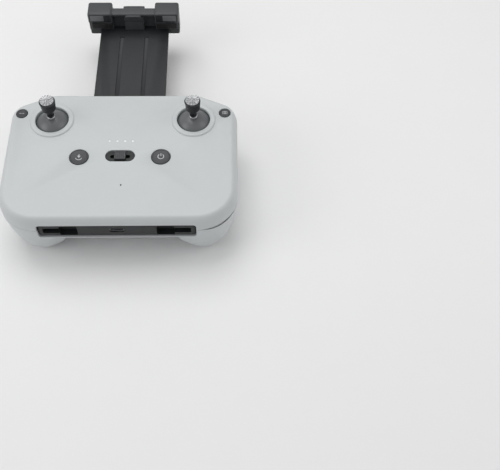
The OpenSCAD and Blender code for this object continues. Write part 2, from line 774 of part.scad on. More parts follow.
// Closed helix of round wire: turns of radius r around Z from 0 to h.
module coil(r, wire, h, turns) {
  steps = 10;
  sides = 6;
  n = steps * turns;
  rings = [for (i = [0 : n], k = [0 : sides - 1]) let (a = i * 360 / steps, b = k * 360 / sides)
    [(r + wire * cos(b)) * cos(a), (r + wire * cos(b)) * sin(a), h * i / n + wire * sin(b)]];
  walls = [for (i = [0 : n - 1], k = [0 : sides - 1], half = [0, 1]) let (next = (k + 1) % sides)
    half == 0 ? [i * sides + k, (i + 1) * sides + k, (i + 1) * sides + next]
      : [i * sides + k, (i + 1) * sides + next, i * sides + next]];
  ends = [[for (k = [0 : sides - 1]) k], [for (k = [sides - 1 : -1 : 0]) n * sides + k]];
  polyhedron(rings, concat(walls, ends));
}

// One centring spring beside each end of the yoke.
module springs(side) {
  color([0.7, 0.7, 0.72]) at_pivot(side) for (end = [-1, 1])
    translate([end * (frame_hx - 3), end * (frame_hy - 4.2), -9.5]) coil(0.9, 0.22, 7, 5);
}

// Angle sensors on the ends of the two tilt axes.
module sensors(side) {
  color([0.1, 0.3, 0.2]) at_pivot(side)
    box(-5, 5, -frame_hy - 3.6, -frame_hy - 0.1, -5, 5);
}

// ---------------------------------------------------------------- all nodes

placed() {
  front_shell();
  rear_shell();
  bottom_trim();
  slot_bezel();
  slot_rubber();
  mode_plate();
  mode_knob();
  battery_lights();
  front_button(-1);  // return_button
  front_button(1);  // power_button
  small_button(-1);  // function_button
  small_button(1);  // camera_button
  shutter_button();
  dial_wheel();
  dial_tyre();
  dial_axle();
  main_board();
  board_shields();
  board_switches();
  side_boards();
  shoulder_switch();
  usb_socket();
  port_board();
  buzzer();
  cell(-1);  // cell_left
  cell(1);  // cell_right
  cell_contacts();
  guide_rails();
  drum_brackets();
  spring_drums();
  spring_tapes();
  slide_plate();
  clamp_bar();
  clamp_cover();
  clamp_pads();
  clamp_lips();
  antenna_boards();
  bar_screws();
  body_screws();
  stick_frame(-1);  // left_frame
  yoke(-1);  // left_yoke
  stick_base(-1);  // left_base
  dome(-1);  // left_dome
  collar(-1);  // left_collar
  stick(-1);  // left_stick
  stick_tip(-1);  // left_tip
  springs(-1);  // left_springs
  sensors(-1);  // left_sensors
  stick_frame(1);  // right_frame
  yoke(1);  // right_yoke
  stick_base(1);  // right_base
  dome(1);  // right_dome
  collar(1);  // right_collar
  stick(1);  // right_stick
  stick_tip(1);  // right_tip
  springs(1);  // right_springs
  sensors(1);  // right_sensors
}
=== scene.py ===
"""Visible model of a hand-held radio transmitter with a phone clamp, built around its CAD frame."""
import logging
import math
from contextlib import contextmanager
from dataclasses import dataclass
from enum import Enum
from typing import Callable, Iterator, Sequence

import bmesh
import bpy
from mathutils import Matrix, Vector


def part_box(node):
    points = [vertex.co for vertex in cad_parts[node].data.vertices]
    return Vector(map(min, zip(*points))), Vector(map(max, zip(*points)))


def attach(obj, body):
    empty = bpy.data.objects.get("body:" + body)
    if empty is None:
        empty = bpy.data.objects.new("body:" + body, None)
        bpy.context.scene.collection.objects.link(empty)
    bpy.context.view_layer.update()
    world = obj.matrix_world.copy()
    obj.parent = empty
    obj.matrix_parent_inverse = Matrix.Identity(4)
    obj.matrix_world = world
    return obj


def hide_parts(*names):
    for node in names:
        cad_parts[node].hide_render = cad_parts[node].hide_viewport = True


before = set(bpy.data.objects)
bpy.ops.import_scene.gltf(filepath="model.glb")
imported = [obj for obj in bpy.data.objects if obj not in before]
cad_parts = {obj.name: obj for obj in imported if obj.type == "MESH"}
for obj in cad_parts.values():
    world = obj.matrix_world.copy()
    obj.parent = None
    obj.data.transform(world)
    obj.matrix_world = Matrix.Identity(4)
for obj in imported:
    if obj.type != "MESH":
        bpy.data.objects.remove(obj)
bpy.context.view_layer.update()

MM = 0.001
SIDES = {"left": -1, "right": 1}
log = logging.getLogger("transmitter")

LIGHT_XS = (-7.5, -2.5, 2.5, 7.5)
LIGHT_Y = 10
FLANGES = {"return_button": 1.2, "power_button": 1.2, "function_button": 0.8,
           "camera_button": 0.8}

Point = tuple[float, float, float]
Profile = Sequence[tuple[float, float]]


# ---------------------------------------------------------------- places

class Datum:
    """The body's own millimetres: x and y from the middle of the face, z up from the face."""

    def __init__(self) -> None:
        """Find the face's middle from the front shell, whose stick rims stand proud of it."""
        low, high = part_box("front_shell")
        self.mid_y = (low[1] + high[1]) / 2
        self.face_z = high[2] - 1.2 * MM

    def at(self, x: float, y: float, z: float) -> Vector:
        """Return a point of the body as a point of the shared frame, in metres."""
        return Vector((x * MM, self.mid_y + y * MM, self.face_z + z * MM))

    def span(self, node: str) -> tuple[Point, Point]:
        """Return a CAD node's lowest and highest corners in the body's millimetres.

        Args:
            node: the CAD node's name.

        Returns:
            The two corners.
        """
        corners = []
        for x, y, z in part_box(node):
            corners.append((x / MM, (y - self.mid_y) / MM, (z - self.face_z) / MM))
        return corners[0], corners[1]

    def middle(self, node: str) -> Point:
        """Return the middle of a CAD node's box in the body's millimetres."""
        low, high = self.span(node)
        return tuple((a + b) / 2 for a, b in zip(low, high))


# ---------------------------------------------------------------- modelling

class Axis(Enum):
    """Which way a turned piece's own axis points."""
    UP = (0.0, 0.0, 0.0)
    BACK = (-math.pi / 2, 0.0, 0.0)


class Bench:
    """The modelling bench: every method shapes a mesh with Blender's own operators."""

    def __init__(self, datum: Datum) -> None:
        """Keep the datum that sizes and places are given in."""
        self.datum = datum

    def pick(self, piece: bpy.types.Object, *more: bpy.types.Object) -> None:
        """Select only these objects, the first of them active."""
        bpy.ops.object.select_all(action="DESELECT")
        for each in (piece, *more):
            each.select_set(True)
        bpy.context.view_layer.objects.active = piece

    @contextmanager
    def editing(self, piece: bpy.types.Object, kind: str = "FACE") -> Iterator[None]:
        """Open a piece in edit mode with nothing selected, and leave edit mode afterwards.

        Args:
            piece: the mesh object.
            kind: the select mode, VERT, EDGE or FACE.

        Returns:
            A context for the with statement.
        """
        self.pick(piece)
        bpy.ops.object.mode_set(mode="EDIT")
        bpy.ops.mesh.select_mode(type=kind)
        bpy.ops.mesh.select_all(action="DESELECT")
        yield
        bpy.ops.object.mode_set(mode="OBJECT")

    def choose(self, piece: bpy.types.Object, kind: str, test: Callable) -> int:
        """Select the parts of the open mesh that pass a test, and nothing else.

        Args:
            piece: the mesh object in edit mode.
            kind: verts, edges or faces.
            test: takes one of them and says whether it is wanted.

        Returns:
            How many were selected.
        """
        mesh = bmesh.from_edit_mesh(piece.data)
        for group in (mesh.faces, mesh.edges, mesh.verts):
            for each in group:
                each.select = False
        wanted = [each for each in getattr(mesh, kind) if test(each)]
        for each in wanted:
            each.select_set(True)
        mesh.select_flush_mode()
        bmesh.update_edit_mesh(piece.data)
        return len(wanted)

    def settle(self, name: str, piece: bpy.types.Object | None = None) -> bpy.types.Object:
        """Name a piece and put its place into its mesh, so that its object is at the origin."""
        piece = piece or bpy.context.object
        self.pick(piece)
        bpy.ops.object.transform_apply(location=True, rotation=True, scale=True)
        piece.name = name
        return piece

    def modify(self, piece: bpy.types.Object, kind: str, **settings: object) -> None:
        """Add one modifier with its settings and apply it."""
        modifier = piece.modifiers.new("Step", kind)
        for key, value in settings.items():
            setattr(modifier, key, value)
        self.pick(piece)
        bpy.ops.object.modifier_apply(modifier=modifier.name)

    def face_out(self, piece: bpy.types.Object) -> None:
        """Merge doubles and turn every face outwards."""
        with self.editing(piece, "VERT"):
            bpy.ops.mesh.select_all(action="SELECT")
            bpy.ops.mesh.remove_doubles(threshold=0.00001)
            bpy.ops.mesh.normals_make_consistent(inside=False)

    def soften(self, piece: bpy.types.Object, angle: float = 35.0) -> bpy.types.Object:
        """Shade a piece smooth up to an edge angle in degrees."""
        self.pick(piece)
        bpy.ops.object.shade_smooth_by_angle(angle=math.radians(angle))
        return piece

    def block(self, name: str, low: Point, high: Point, edge: float = 0.0,
              steps: int = 3) -> bpy.types.Object:
        """Make a block with rounded edges.

        Args:
            name: the piece's name.
            low: its lowest corner in millimetres.
            high: its highest corner.
            edge: the rounding of its edges, or 0 for none.
            steps: the bands in each rounding.

        Returns:
            The new object.
        """
        middle = self.datum.at(*[(a + b) / 2 for a, b in zip(low, high)])
        size = [(b - a) * MM for a, b in zip(low, high)]
        bpy.ops.mesh.primitive_cube_add(size=1, location=middle, scale=size)
        piece = self.settle(name)
        if edge:
            with self.editing(piece, "EDGE"):
                bpy.ops.mesh.select_all(action="SELECT")
                bpy.ops.mesh.bevel(offset=edge * MM, segments=steps, profile=0.5, affect="EDGES")
            self.soften(piece, 60)
        return piece

    def turned(self, name: str, place: Point, profile: Profile, axis: Axis = Axis.UP,
               steps: int = 64) -> bpy.types.Object:
        """Turn a solid piece from a round blank by drawing out its end face step by step.

        Args:
            name: the piece's name.
            place: the point on its axis where heights are measured from.
            profile: pairs of radius and height in millimetres, from one end to the other.
            axis: which way its heights grow.
            steps: the faces round it.

        Returns:
            The new object.
        """
        radius, height = profile[0]
        bpy.ops.mesh.primitive_circle_add(vertices=steps, radius=radius * MM, fill_type="NGON",
                                          location=(0, 0, height * MM))
        piece = self.settle(name)
        with self.editing(piece):
            bpy.ops.mesh.select_all(action="SELECT")
            for radius_next, height_next in profile[1:]:
                rise = (height_next - height) * MM
                bpy.ops.mesh.extrude_region_move(TRANSFORM_OT_translate={"value": (0, 0, rise)})
                grow = radius_next / radius
                bpy.ops.transform.resize(value=(grow, grow, 1), center_override=(0, 0, 0))
                radius, height = radius_next, height_next
            bpy.ops.mesh.select_all(action="SELECT")
            bpy.ops.mesh.normals_make_consistent(inside=False)
        piece.rotation_euler = axis.value
        piece.location = self.datum.at(*place)
        self.settle(name, piece)
        return self.soften(piece)

    def plate(self, name: str, corners: Sequence[Point], low: float, high: float,
              steps: int = 8) -> bpy.types.Object:
        """Make a flat plate whose corners are rounded.

        Args:
            name: the piece's name.
            corners: for each corner its x and y and how far along its edges the rounding reaches.
            low: the height of its underside in millimetres.
            high: the height of its top.
            steps: the bands in each corner.

        Returns:
            The new object.
        """
        bpy.ops.mesh.primitive_circle_add(vertices=len(corners), radius=MM, fill_type="NGON")
        piece = self.settle(name)
        spots = [self.datum.at(x, y, low) for x, y, _ in corners]
        with self.editing(piece, "VERT"):
            mesh = bmesh.from_edit_mesh(piece.data)
            mesh.verts.ensure_lookup_table()
            for vertex, spot in zip(mesh.verts, spots):
                vertex.co = spot
            bmesh.update_edit_mesh(piece.data)
            for spot, (_, _, reach) in zip(spots, corners):
                if reach:
                    self.choose(piece, "verts", lambda v, s=spot: (v.co - s).length < 1e-7)
                    bpy.ops.mesh.bevel(offset=reach * MM, segments=steps, affect="VERTICES")
            bpy.ops.mesh.select_mode(type="FACE")
            bpy.ops.mesh.select_all(action="SELECT")
            bpy.ops.mesh.extrude_region_move(
                TRANSFORM_OT_translate={"value": (0, 0, (high - low) * MM)})
            bpy.ops.mesh.select_all(action="SELECT")
            bpy.ops.mesh.normals_make_consistent(inside=False)
        return self.soften(piece)

    def pill(self, name: str, middle: tuple[float, float], half: float, radius: float,
             low: float, high: float) -> bpy.types.Object:
        """Make a plate with two round ends by pulling the halves of a round blank apart.

        Args:
            name: the piece's name.
            middle: x and y of its middle in millimetres.
            half: half its length along x.
            radius: the radius of its ends.
            low: the height of its underside.
            high: the height of its top.

        Returns:
            The new object.
        """
        place = self.datum.at(*middle, low)
        bpy.ops.mesh.primitive_circle_add(vertices=58, radius=radius * MM, fill_type="NGON",
                                          location=place)
        piece = self.settle(name)
        with self.editing(piece, "VERT"):
            for sign in SIDES.values():
                self.choose(piece, "verts", lambda v, s=sign: (v.co.x - place.x) * s > 0)
                bpy.ops.transform.translate(value=(sign * (half - radius) * MM, 0, 0))
            bpy.ops.mesh.select_mode(type="FACE")
            bpy.ops.mesh.select_all(action="SELECT")
            bpy.ops.mesh.extrude_region_move(
                TRANSFORM_OT_translate={"value": (0, 0, (high - low) * MM)})
            bpy.ops.mesh.select_all(action="SELECT")
            bpy.ops.mesh.normals_make_consistent(inside=False)
        return self.soften(piece)

    def band(self, piece: bpy.types.Object, upward: bool, bands: Profile) -> None:
        """Step the top or bottom face of a plate inwards, band by band.

        Args:
            piece: the plate.
            upward: True for its top face, False for its underside.
            bands: pairs of how far to step in and how far to move out along the face's normal.
        """
        sign = 1 if upward else -1
        tops = [f.center.z * sign for f in piece.data.polygons if f.normal.z * sign > 0.9]
        level = max(tops)
        with self.editing(piece):
            self.choose(piece, "faces", lambda f: f.normal.z * sign > 0.9
                        and abs(f.calc_center_median().z * sign - level) < 1e-6)
            for inward, outward in bands:
                bpy.ops.mesh.inset(thickness=inward * MM, depth=outward * MM)

    def stroke(self, name: str, place: Point, radii: tuple[float, float],
               arc: tuple[float, float], thick: float) -> bpy.types.Object:
        """Make a flat strip that follows part of a circle.

        Args:
            name: the piece's name.
            place: the circle's centre, at the strip's underside.
            radii: the strip's outer and inner radius.
            arc: its first and last angle in degrees.
            thick: its thickness.

        Returns:
            The new object.
        """
        outer, inner = radii
        bpy.ops.mesh.primitive_circle_add(vertices=72, radius=outer * MM, fill_type="NOTHING")
        piece = self.settle(name)
        with self.editing(piece, "EDGE"):
            bpy.ops.mesh.select_all(action="SELECT")
            bpy.ops.mesh.extrude_edges_move()
            shrink = inner / outer
            bpy.ops.transform.resize(value=(shrink, shrink, 1), center_override=(0, 0, 0))
            bpy.ops.mesh.select_mode(type="FACE")
            start, end = arc

            def outside(face: bmesh.types.BMFace) -> bool:
                """Say whether a face lies outside the arc."""
                spot = face.calc_center_median()
                turn = (math.degrees(math.atan2(spot.y, spot.x)) - start) % 360
                return turn > end - start

            if self.choose(piece, "faces", outside):
                bpy.ops.mesh.delete(type="FACE")
            bpy.ops.mesh.select_all(action="SELECT")
            bpy.ops.mesh.extrude_region_move(TRANSFORM_OT_translate={"value": (0, 0, thick * MM)})
            bpy.ops.mesh.select_all(action="SELECT")
            bpy.ops.mesh.normals_make_consistent(inside=False)
        piece.location = self.datum.at(*place)
        return self.settle(name, piece)

    def join(self, piece: bpy.types.Object, others: Sequence[bpy.types.Object]) -> bpy.types.Object:
        """Join meshes into one object without changing their shapes."""
        if others:
            self.pick(piece, *others)
            bpy.ops.object.join()
        return piece

    def fuse(self, piece: bpy.types.Object, others: Sequence[bpy.types.Object],
             how: str = "UNION") -> bpy.types.Object:
        """Add other pieces to this one or cut them out of it, and use them up.

        Args:
            piece: the piece that stays.
            others: the pieces added or taken away, one after another.
            how: UNION or DIFFERENCE.

        Returns:
            The same object.
        """
        for other in others:
            self.modify(piece, "BOOLEAN", operation=how, object=other, solver="EXACT")
            bpy.data.objects.remove(other, do_unlink=True)
        return piece

    def cut(self, piece: bpy.types.Object, *others: bpy.types.Object) -> bpy.types.Object:
        """Cut pieces that don't touch each other out of this one, all at once."""
        return self.fuse(piece, [self.join(others[0], others[1:])], "DIFFERENCE")


# ---------------------------------------------------------------- finishes

class Sig:
    """A value that changes over a surface: a socket with arithmetic that adds Math nodes."""

    def __init__(self, desk: "Finisher", socket: bpy.types.NodeSocket) -> None:
        """Wrap a node's output socket."""
        self.desk = desk
        self.socket = socket

    def _math(self, operation: str, *values: "Sig | float") -> "Sig":
        """Add one Math node over these values."""
        return self.desk.node("ShaderNodeMath", {"operation": operation},
                              dict(enumerate(values)))

    def __add__(self, other: "Sig | float") -> "Sig":
        """Add."""
        return self._math("ADD", self, other)

    __radd__ = __add__

    def __sub__(self, other: "Sig | float") -> "Sig":
        """Subtract."""
        return self._math("SUBTRACT", self, other)

    def __rsub__(self, other: float) -> "Sig":
        """Subtract from a number."""
        return self._math("SUBTRACT", other, self)

    def __mul__(self, other: "Sig | float") -> "Sig":
        """Multiply."""
        return self._math("MULTIPLY", self, other)

    __rmul__ = __mul__

    def clip(self, low: float, high: float) -> "Sig":
        """Spread the part between two levels over 0 to 1."""
        return self.desk.node("ShaderNodeMapRange", {"clamp": True},
                              {"Value": self, "From Min": low, "From Max": high})


class Grain(Enum):
    """The kinds of surface texture that a finish can have."""
    ERODED = "fine spark-eroded mould texture"
    SATIN = "polished mould, faint waviness"
    BRUSHED = "lines drawn along one direction"
    TURNED = "fine rings round the vertical axis"
    RUBBER = "matte rubber with fine dust"
    BOARD = "lacquered circuit board"


@dataclass(frozen=True)
class Finish:
    """One finish: its colour, how it shines and how its surface feels."""
    name: str
    slot: str
    colour: tuple[float, float, float]
    rough: float
    grain: Grain = Grain.ERODED
    relief: float = 0.3
    size: float = 2200.0
    metal: float = 0.0
    coat: float = 0.0
    mottle: float = 0.05
    speck: float = 0.0
    specular: float = 0.5
    glow: float = 0.0


class Finisher:
    """Makes each finish's material once and puts it on pieces."""

    def __init__(self) -> None:
        """Start with no materials made."""
        self.made: dict[str, bpy.types.Material] = {}
        self.tree: bpy.types.NodeTree | None = None

    def node(self, kind: str, settings: dict | None = None, values: dict | None = None,
             out: int | str = 0) -> Sig:
        """Add one node to the open material.

        Args:
            kind: the node's type.
            settings: its properties; a ramp's stops are given as stops.
            values: numbers, colours or other values for its sockets.
            out: which output is wanted.

        Returns:
            That output as a value.
        """
        node = self.tree.nodes.new(kind)
        for key, value in (settings or {}).items():
            if key == "stops":
                ramp = node.color_ramp
                for element, (spot, level) in zip(ramp.elements, value):
                    element.position = spot
                    element.color = (level, level, level, 1)
            else:
                setattr(node, key, value)
        for key, value in (values or {}).items():
            socket = node.inputs[key]
            if isinstance(value, Sig):
                self.tree.links.new(value.socket, socket)
            else:
                socket.default_value = value
        return Sig(self, node.outputs[out]) if node.outputs else Sig(self, None)

    def noise(self, where: Sig, scale: float, detail: float = 3.0, rough: float = 0.55) -> Sig:
        """Add a noise pattern over a place and return its level."""
        return self.node("ShaderNodeTexNoise", {"noise_dimensions": "3D"},
                         {"Vector": where, "Scale": scale, "Detail": detail, "Roughness": rough})

    def stretch(self, where: Sig, scale: Point) -> Sig:
        """Stretch a place so that a pattern on it runs along one direction."""
        return self.node("ShaderNodeMapping", {"vector_type": "POINT"},
                         {"Vector": where, "Scale": scale})

    def material(self, finish: Finish) -> bpy.types.Material:
        """Make a finish's material, or return the one already made.

        Args:
            finish: the finish.

        Returns:
            The material.
        """
        if finish.name in self.made:
            return self.made[finish.name]
        material = bpy.data.materials.new(finish.name)
        material.use_nodes = True
        self.tree = material.node_tree
        self.tree.nodes.clear()
        where = self.node("ShaderNodeTexCoord", out="Object")
        cloud = self.noise(where, 38.0, 4.0)
        smear = self.noise(where, 210.0, 3.0, 0.6)
        dust = self.noise(where, 1300.0, 2.0)
        relief, step = self.relief(finish, where)
        shade = (cloud * 0.6 + smear * 0.4).clip(0.3, 0.7)
        darker = tuple(c * (1 - finish.mottle) for c in finish.colour) + (1,)
        lighter = tuple(min(1, c * (1 + finish.mottle)) for c in finish.colour) + (1,)
        colour = self.node("ShaderNodeMix", {"data_type": "RGBA"},
                           {0: shade, 6: darker, 7: lighter}, out=2)
        if finish.speck:
            fleck = dust.clip(0.62, 0.72) * finish.speck
            pale = tuple(min(1, c + 0.18) for c in finish.colour) + (1,)
            colour = self.node("ShaderNodeMix", {"data_type": "RGBA"},
                               {0: fleck, 6: colour, 7: pale}, out=2)
        rough = (smear - 0.5) * 0.16 + (relief - 0.5) * 0.1 + finish.rough
        bump = self.node("ShaderNodeBump", {}, {"Height": relief + cloud * 0.12,
                                                "Strength": finish.relief, "Distance": step})
        values = {"Base Color": colour, "Roughness": rough.clip(0.0, 1.0), "Normal": bump,
                  "Metallic": finish.metal, "Coat Weight": finish.coat, "Coat Roughness": 0.28,
                  "Specular IOR Level": finish.specular}
        if finish.glow:
            values["Emission Color"] = finish.colour + (1,)
            values["Emission Strength"] = finish.glow
        shader = self.node("ShaderNodeBsdfPrincipled", {}, values)
        self.node("ShaderNodeOutputMaterial", {}, {"Surface": shader})
        self.made[finish.name] = material
        return material

    def relief(self, finish: Finish, where: Sig) -> tuple[Sig, float]:
        """Make the height pattern of a finish's grain.

        Args:
            finish: the finish.
            where: the place on the piece.

        Returns:
            The height from 0 to 1, and the depth of the bump in metres.
        """
        if finish.grain is Grain.ERODED:
            cells = self.node("ShaderNodeTexVoronoi", {"feature": "SMOOTH_F1"},
                              {"Vector": where, "Scale": finish.size, "Smoothness": 0.6})
            return cells * 0.55 + self.noise(where, finish.size * 0.7, 4.0) * 0.6, 0.00006
        if finish.grain is Grain.BRUSHED:
            along = self.stretch(where, (1.0, 26.0, 26.0))
            return self.noise(along, 420.0, 5.0, 0.7), 0.00004
        if finish.grain is Grain.TURNED:
            wave = self.node("ShaderNodeTexWave", {"wave_type": "RINGS", "rings_direction": "Z"},
                             {"Vector": where, "Scale": 900.0, "Distortion": 1.5, "Detail": 2.0})
            return wave * 0.6 + self.noise(where, 1600.0) * 0.4, 0.00003
        if finish.grain is Grain.RUBBER:
            return self.noise(where, finish.size, 5.0, 0.7), 0.00008
        if finish.grain is Grain.BOARD:
            tracks = self.node("ShaderNodeTexVoronoi", {"feature": "DISTANCE_TO_EDGE"},
                               {"Vector": where, "Scale": 260.0})
            return tracks.clip(0.02, 0.06), 0.00005
        return self.noise(where, finish.size * 0.4, 3.0), 0.00003

    def dress(self, piece: bpy.types.Object, finish: Finish) -> bpy.types.Object:
        """Put a finish on a piece."""
        piece.data.materials.clear()
        piece.data.materials.append(self.material(finish))
        return piece

    def refinish(self, node: str, finish: Finish) -> None:
        """Put a finish on a CAD node whose shape stays."""
        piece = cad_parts[node]
        for each in piece.material_slots:
            each.material = self.material(finish)


SHELL = Finish("shell_light_grey", "shell", (0.575, 0.603, 0.61), 0.46, relief=0.22, size=2400,
               mottle=0.018, specular=0.5)
SHELL_REAR = Finish("shell_light_grey_rear", "shell", (0.585, 0.61, 0.62), 0.5, relief=0.3,
                    size=2000, mottle=0.022)
TRIM = Finish("trim_dark", "trim", (0.012, 0.014, 0.015), 0.5, relief=0.25, mottle=0.08)
KEY = Finish("key_dark", "key", (0.036, 0.04, 0.044), 0.38, relief=0.16, mottle=0.05, coat=0.1)
LEGEND = Finish("key_legend", "lights", (0.55, 0.57, 0.58), 0.5, Grain.SATIN, relief=0.1)
CLAMP = Finish("clamp_grey", "clamp", (0.06, 0.065, 0.07), 0.45, relief=0.3, mottle=0.05)
CLAMP_DARK = Finish("clamp_near_black", "clamp_dark", (0.02, 0.022, 0.024), 0.48, relief=0.3,
                    mottle=0.08)
PAD = Finish("panel_mid_grey", "pad", (0.15, 0.156, 0.16), 0.5, relief=0.25, mottle=0.05)
DOME = Finish("dome_satin", "dome", (0.135, 0.143, 0.15), 0.36, Grain.SATIN, relief=0.08,
              coat=0.35, mottle=0.03)
SOFT = Finish("rubber_black", "soft", (0.022, 0.022, 0.023), 0.75, Grain.RUBBER, relief=0.3,
              speck=0.08, specular=0.3)
STEEL = Finish("steel_bright", "steel", (0.62, 0.63, 0.64), 0.3, Grain.BRUSHED, metal=1.0,
               relief=0.15, mottle=0.05)
COLLAR = Finish("collar_satin_metal", "collar", (0.52, 0.53, 0.54), 0.32, Grain.TURNED, metal=1.0,
                relief=0.12, mottle=0.04)
TIP = Finish("tip_bright_metal", "tip", (0.5, 0.51, 0.52), 0.42, Grain.TURNED, metal=1.0,
             relief=0.1, mottle=0.05)
KNOB = Finish("knob_anodised", "knob", (0.02, 0.022, 0.024), 0.38, Grain.SATIN, relief=0.15,
              metal=0.35, coat=0.1, mottle=0.06)
INNER = Finish("inner_black", "inner", (0.05, 0.052, 0.055), 0.5, relief=0.25)
ACETAL = Finish("acetal_white", "acetal", (0.72, 0.72, 0.69), 0.4, Grain.SATIN, relief=0.1)
BOARD = Finish("board_green", "board", (0.02, 0.11, 0.06), 0.35, Grain.BOARD, relief=0.2,
               mottle=0.1, coat=0.3)
SHIELD = Finish("tinned_steel", "shield", (0.6, 0.61, 0.62), 0.32, Grain.BRUSHED, metal=1.0,
                relief=0.1)
CELL = Finish("cell_wrap", "cell", (0.08, 0.19, 0.38), 0.3, Grain.SATIN, relief=0.08, coat=0.3)
LIGHT = Finish("light_diffuser", "lights", (0.78, 0.8, 0.82), 0.25, Grain.SATIN, relief=0.05,
               glow=0.15)
SCREW = Finish("screw_black_oxide", "screw", (0.06, 0.06, 0.065), 0.4, Grain.TURNED, metal=0.8,
               relief=0.15)


# ---------------------------------------------------------------- sub-assemblies

@dataclass
class Maker:
    """What every sub-assembly works with."""
    datum: Datum
    bench: Bench
    finisher: Finisher

    def finish(self, piece: bpy.types.Object, finish: Finish, body: str,
               *nodes: str) -> bpy.types.Object:
        """Dress a finished piece, let it ride on its body and report it.

        Args:
            piece: the piece.
            finish: its finish.
            body: the CAD body that it moves with.
            nodes: the CAD nodes that it stands for.

        Returns:
            The same object.
        """
        self.finisher.dress(piece, finish)
        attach(piece, body)
        if nodes:
            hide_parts(*nodes)
        log.info("%s: %d faces on %s", piece.name, len(piece.data.polygons), body)
        return piece


def mirrored(corners: Sequence[Point]) -> list[Point]:
    """Return the corners of the right half and, in turning order, those of the left half."""
    return list(corners) + [(-x, y, reach) for x, y, reach in reversed(corners)]


def across(inner: float, outer: float, sign: int) -> list[float]:
    """Return the lower and higher x of what lies between two distances on one side."""
    return sorted([inner * sign, outer * sign])


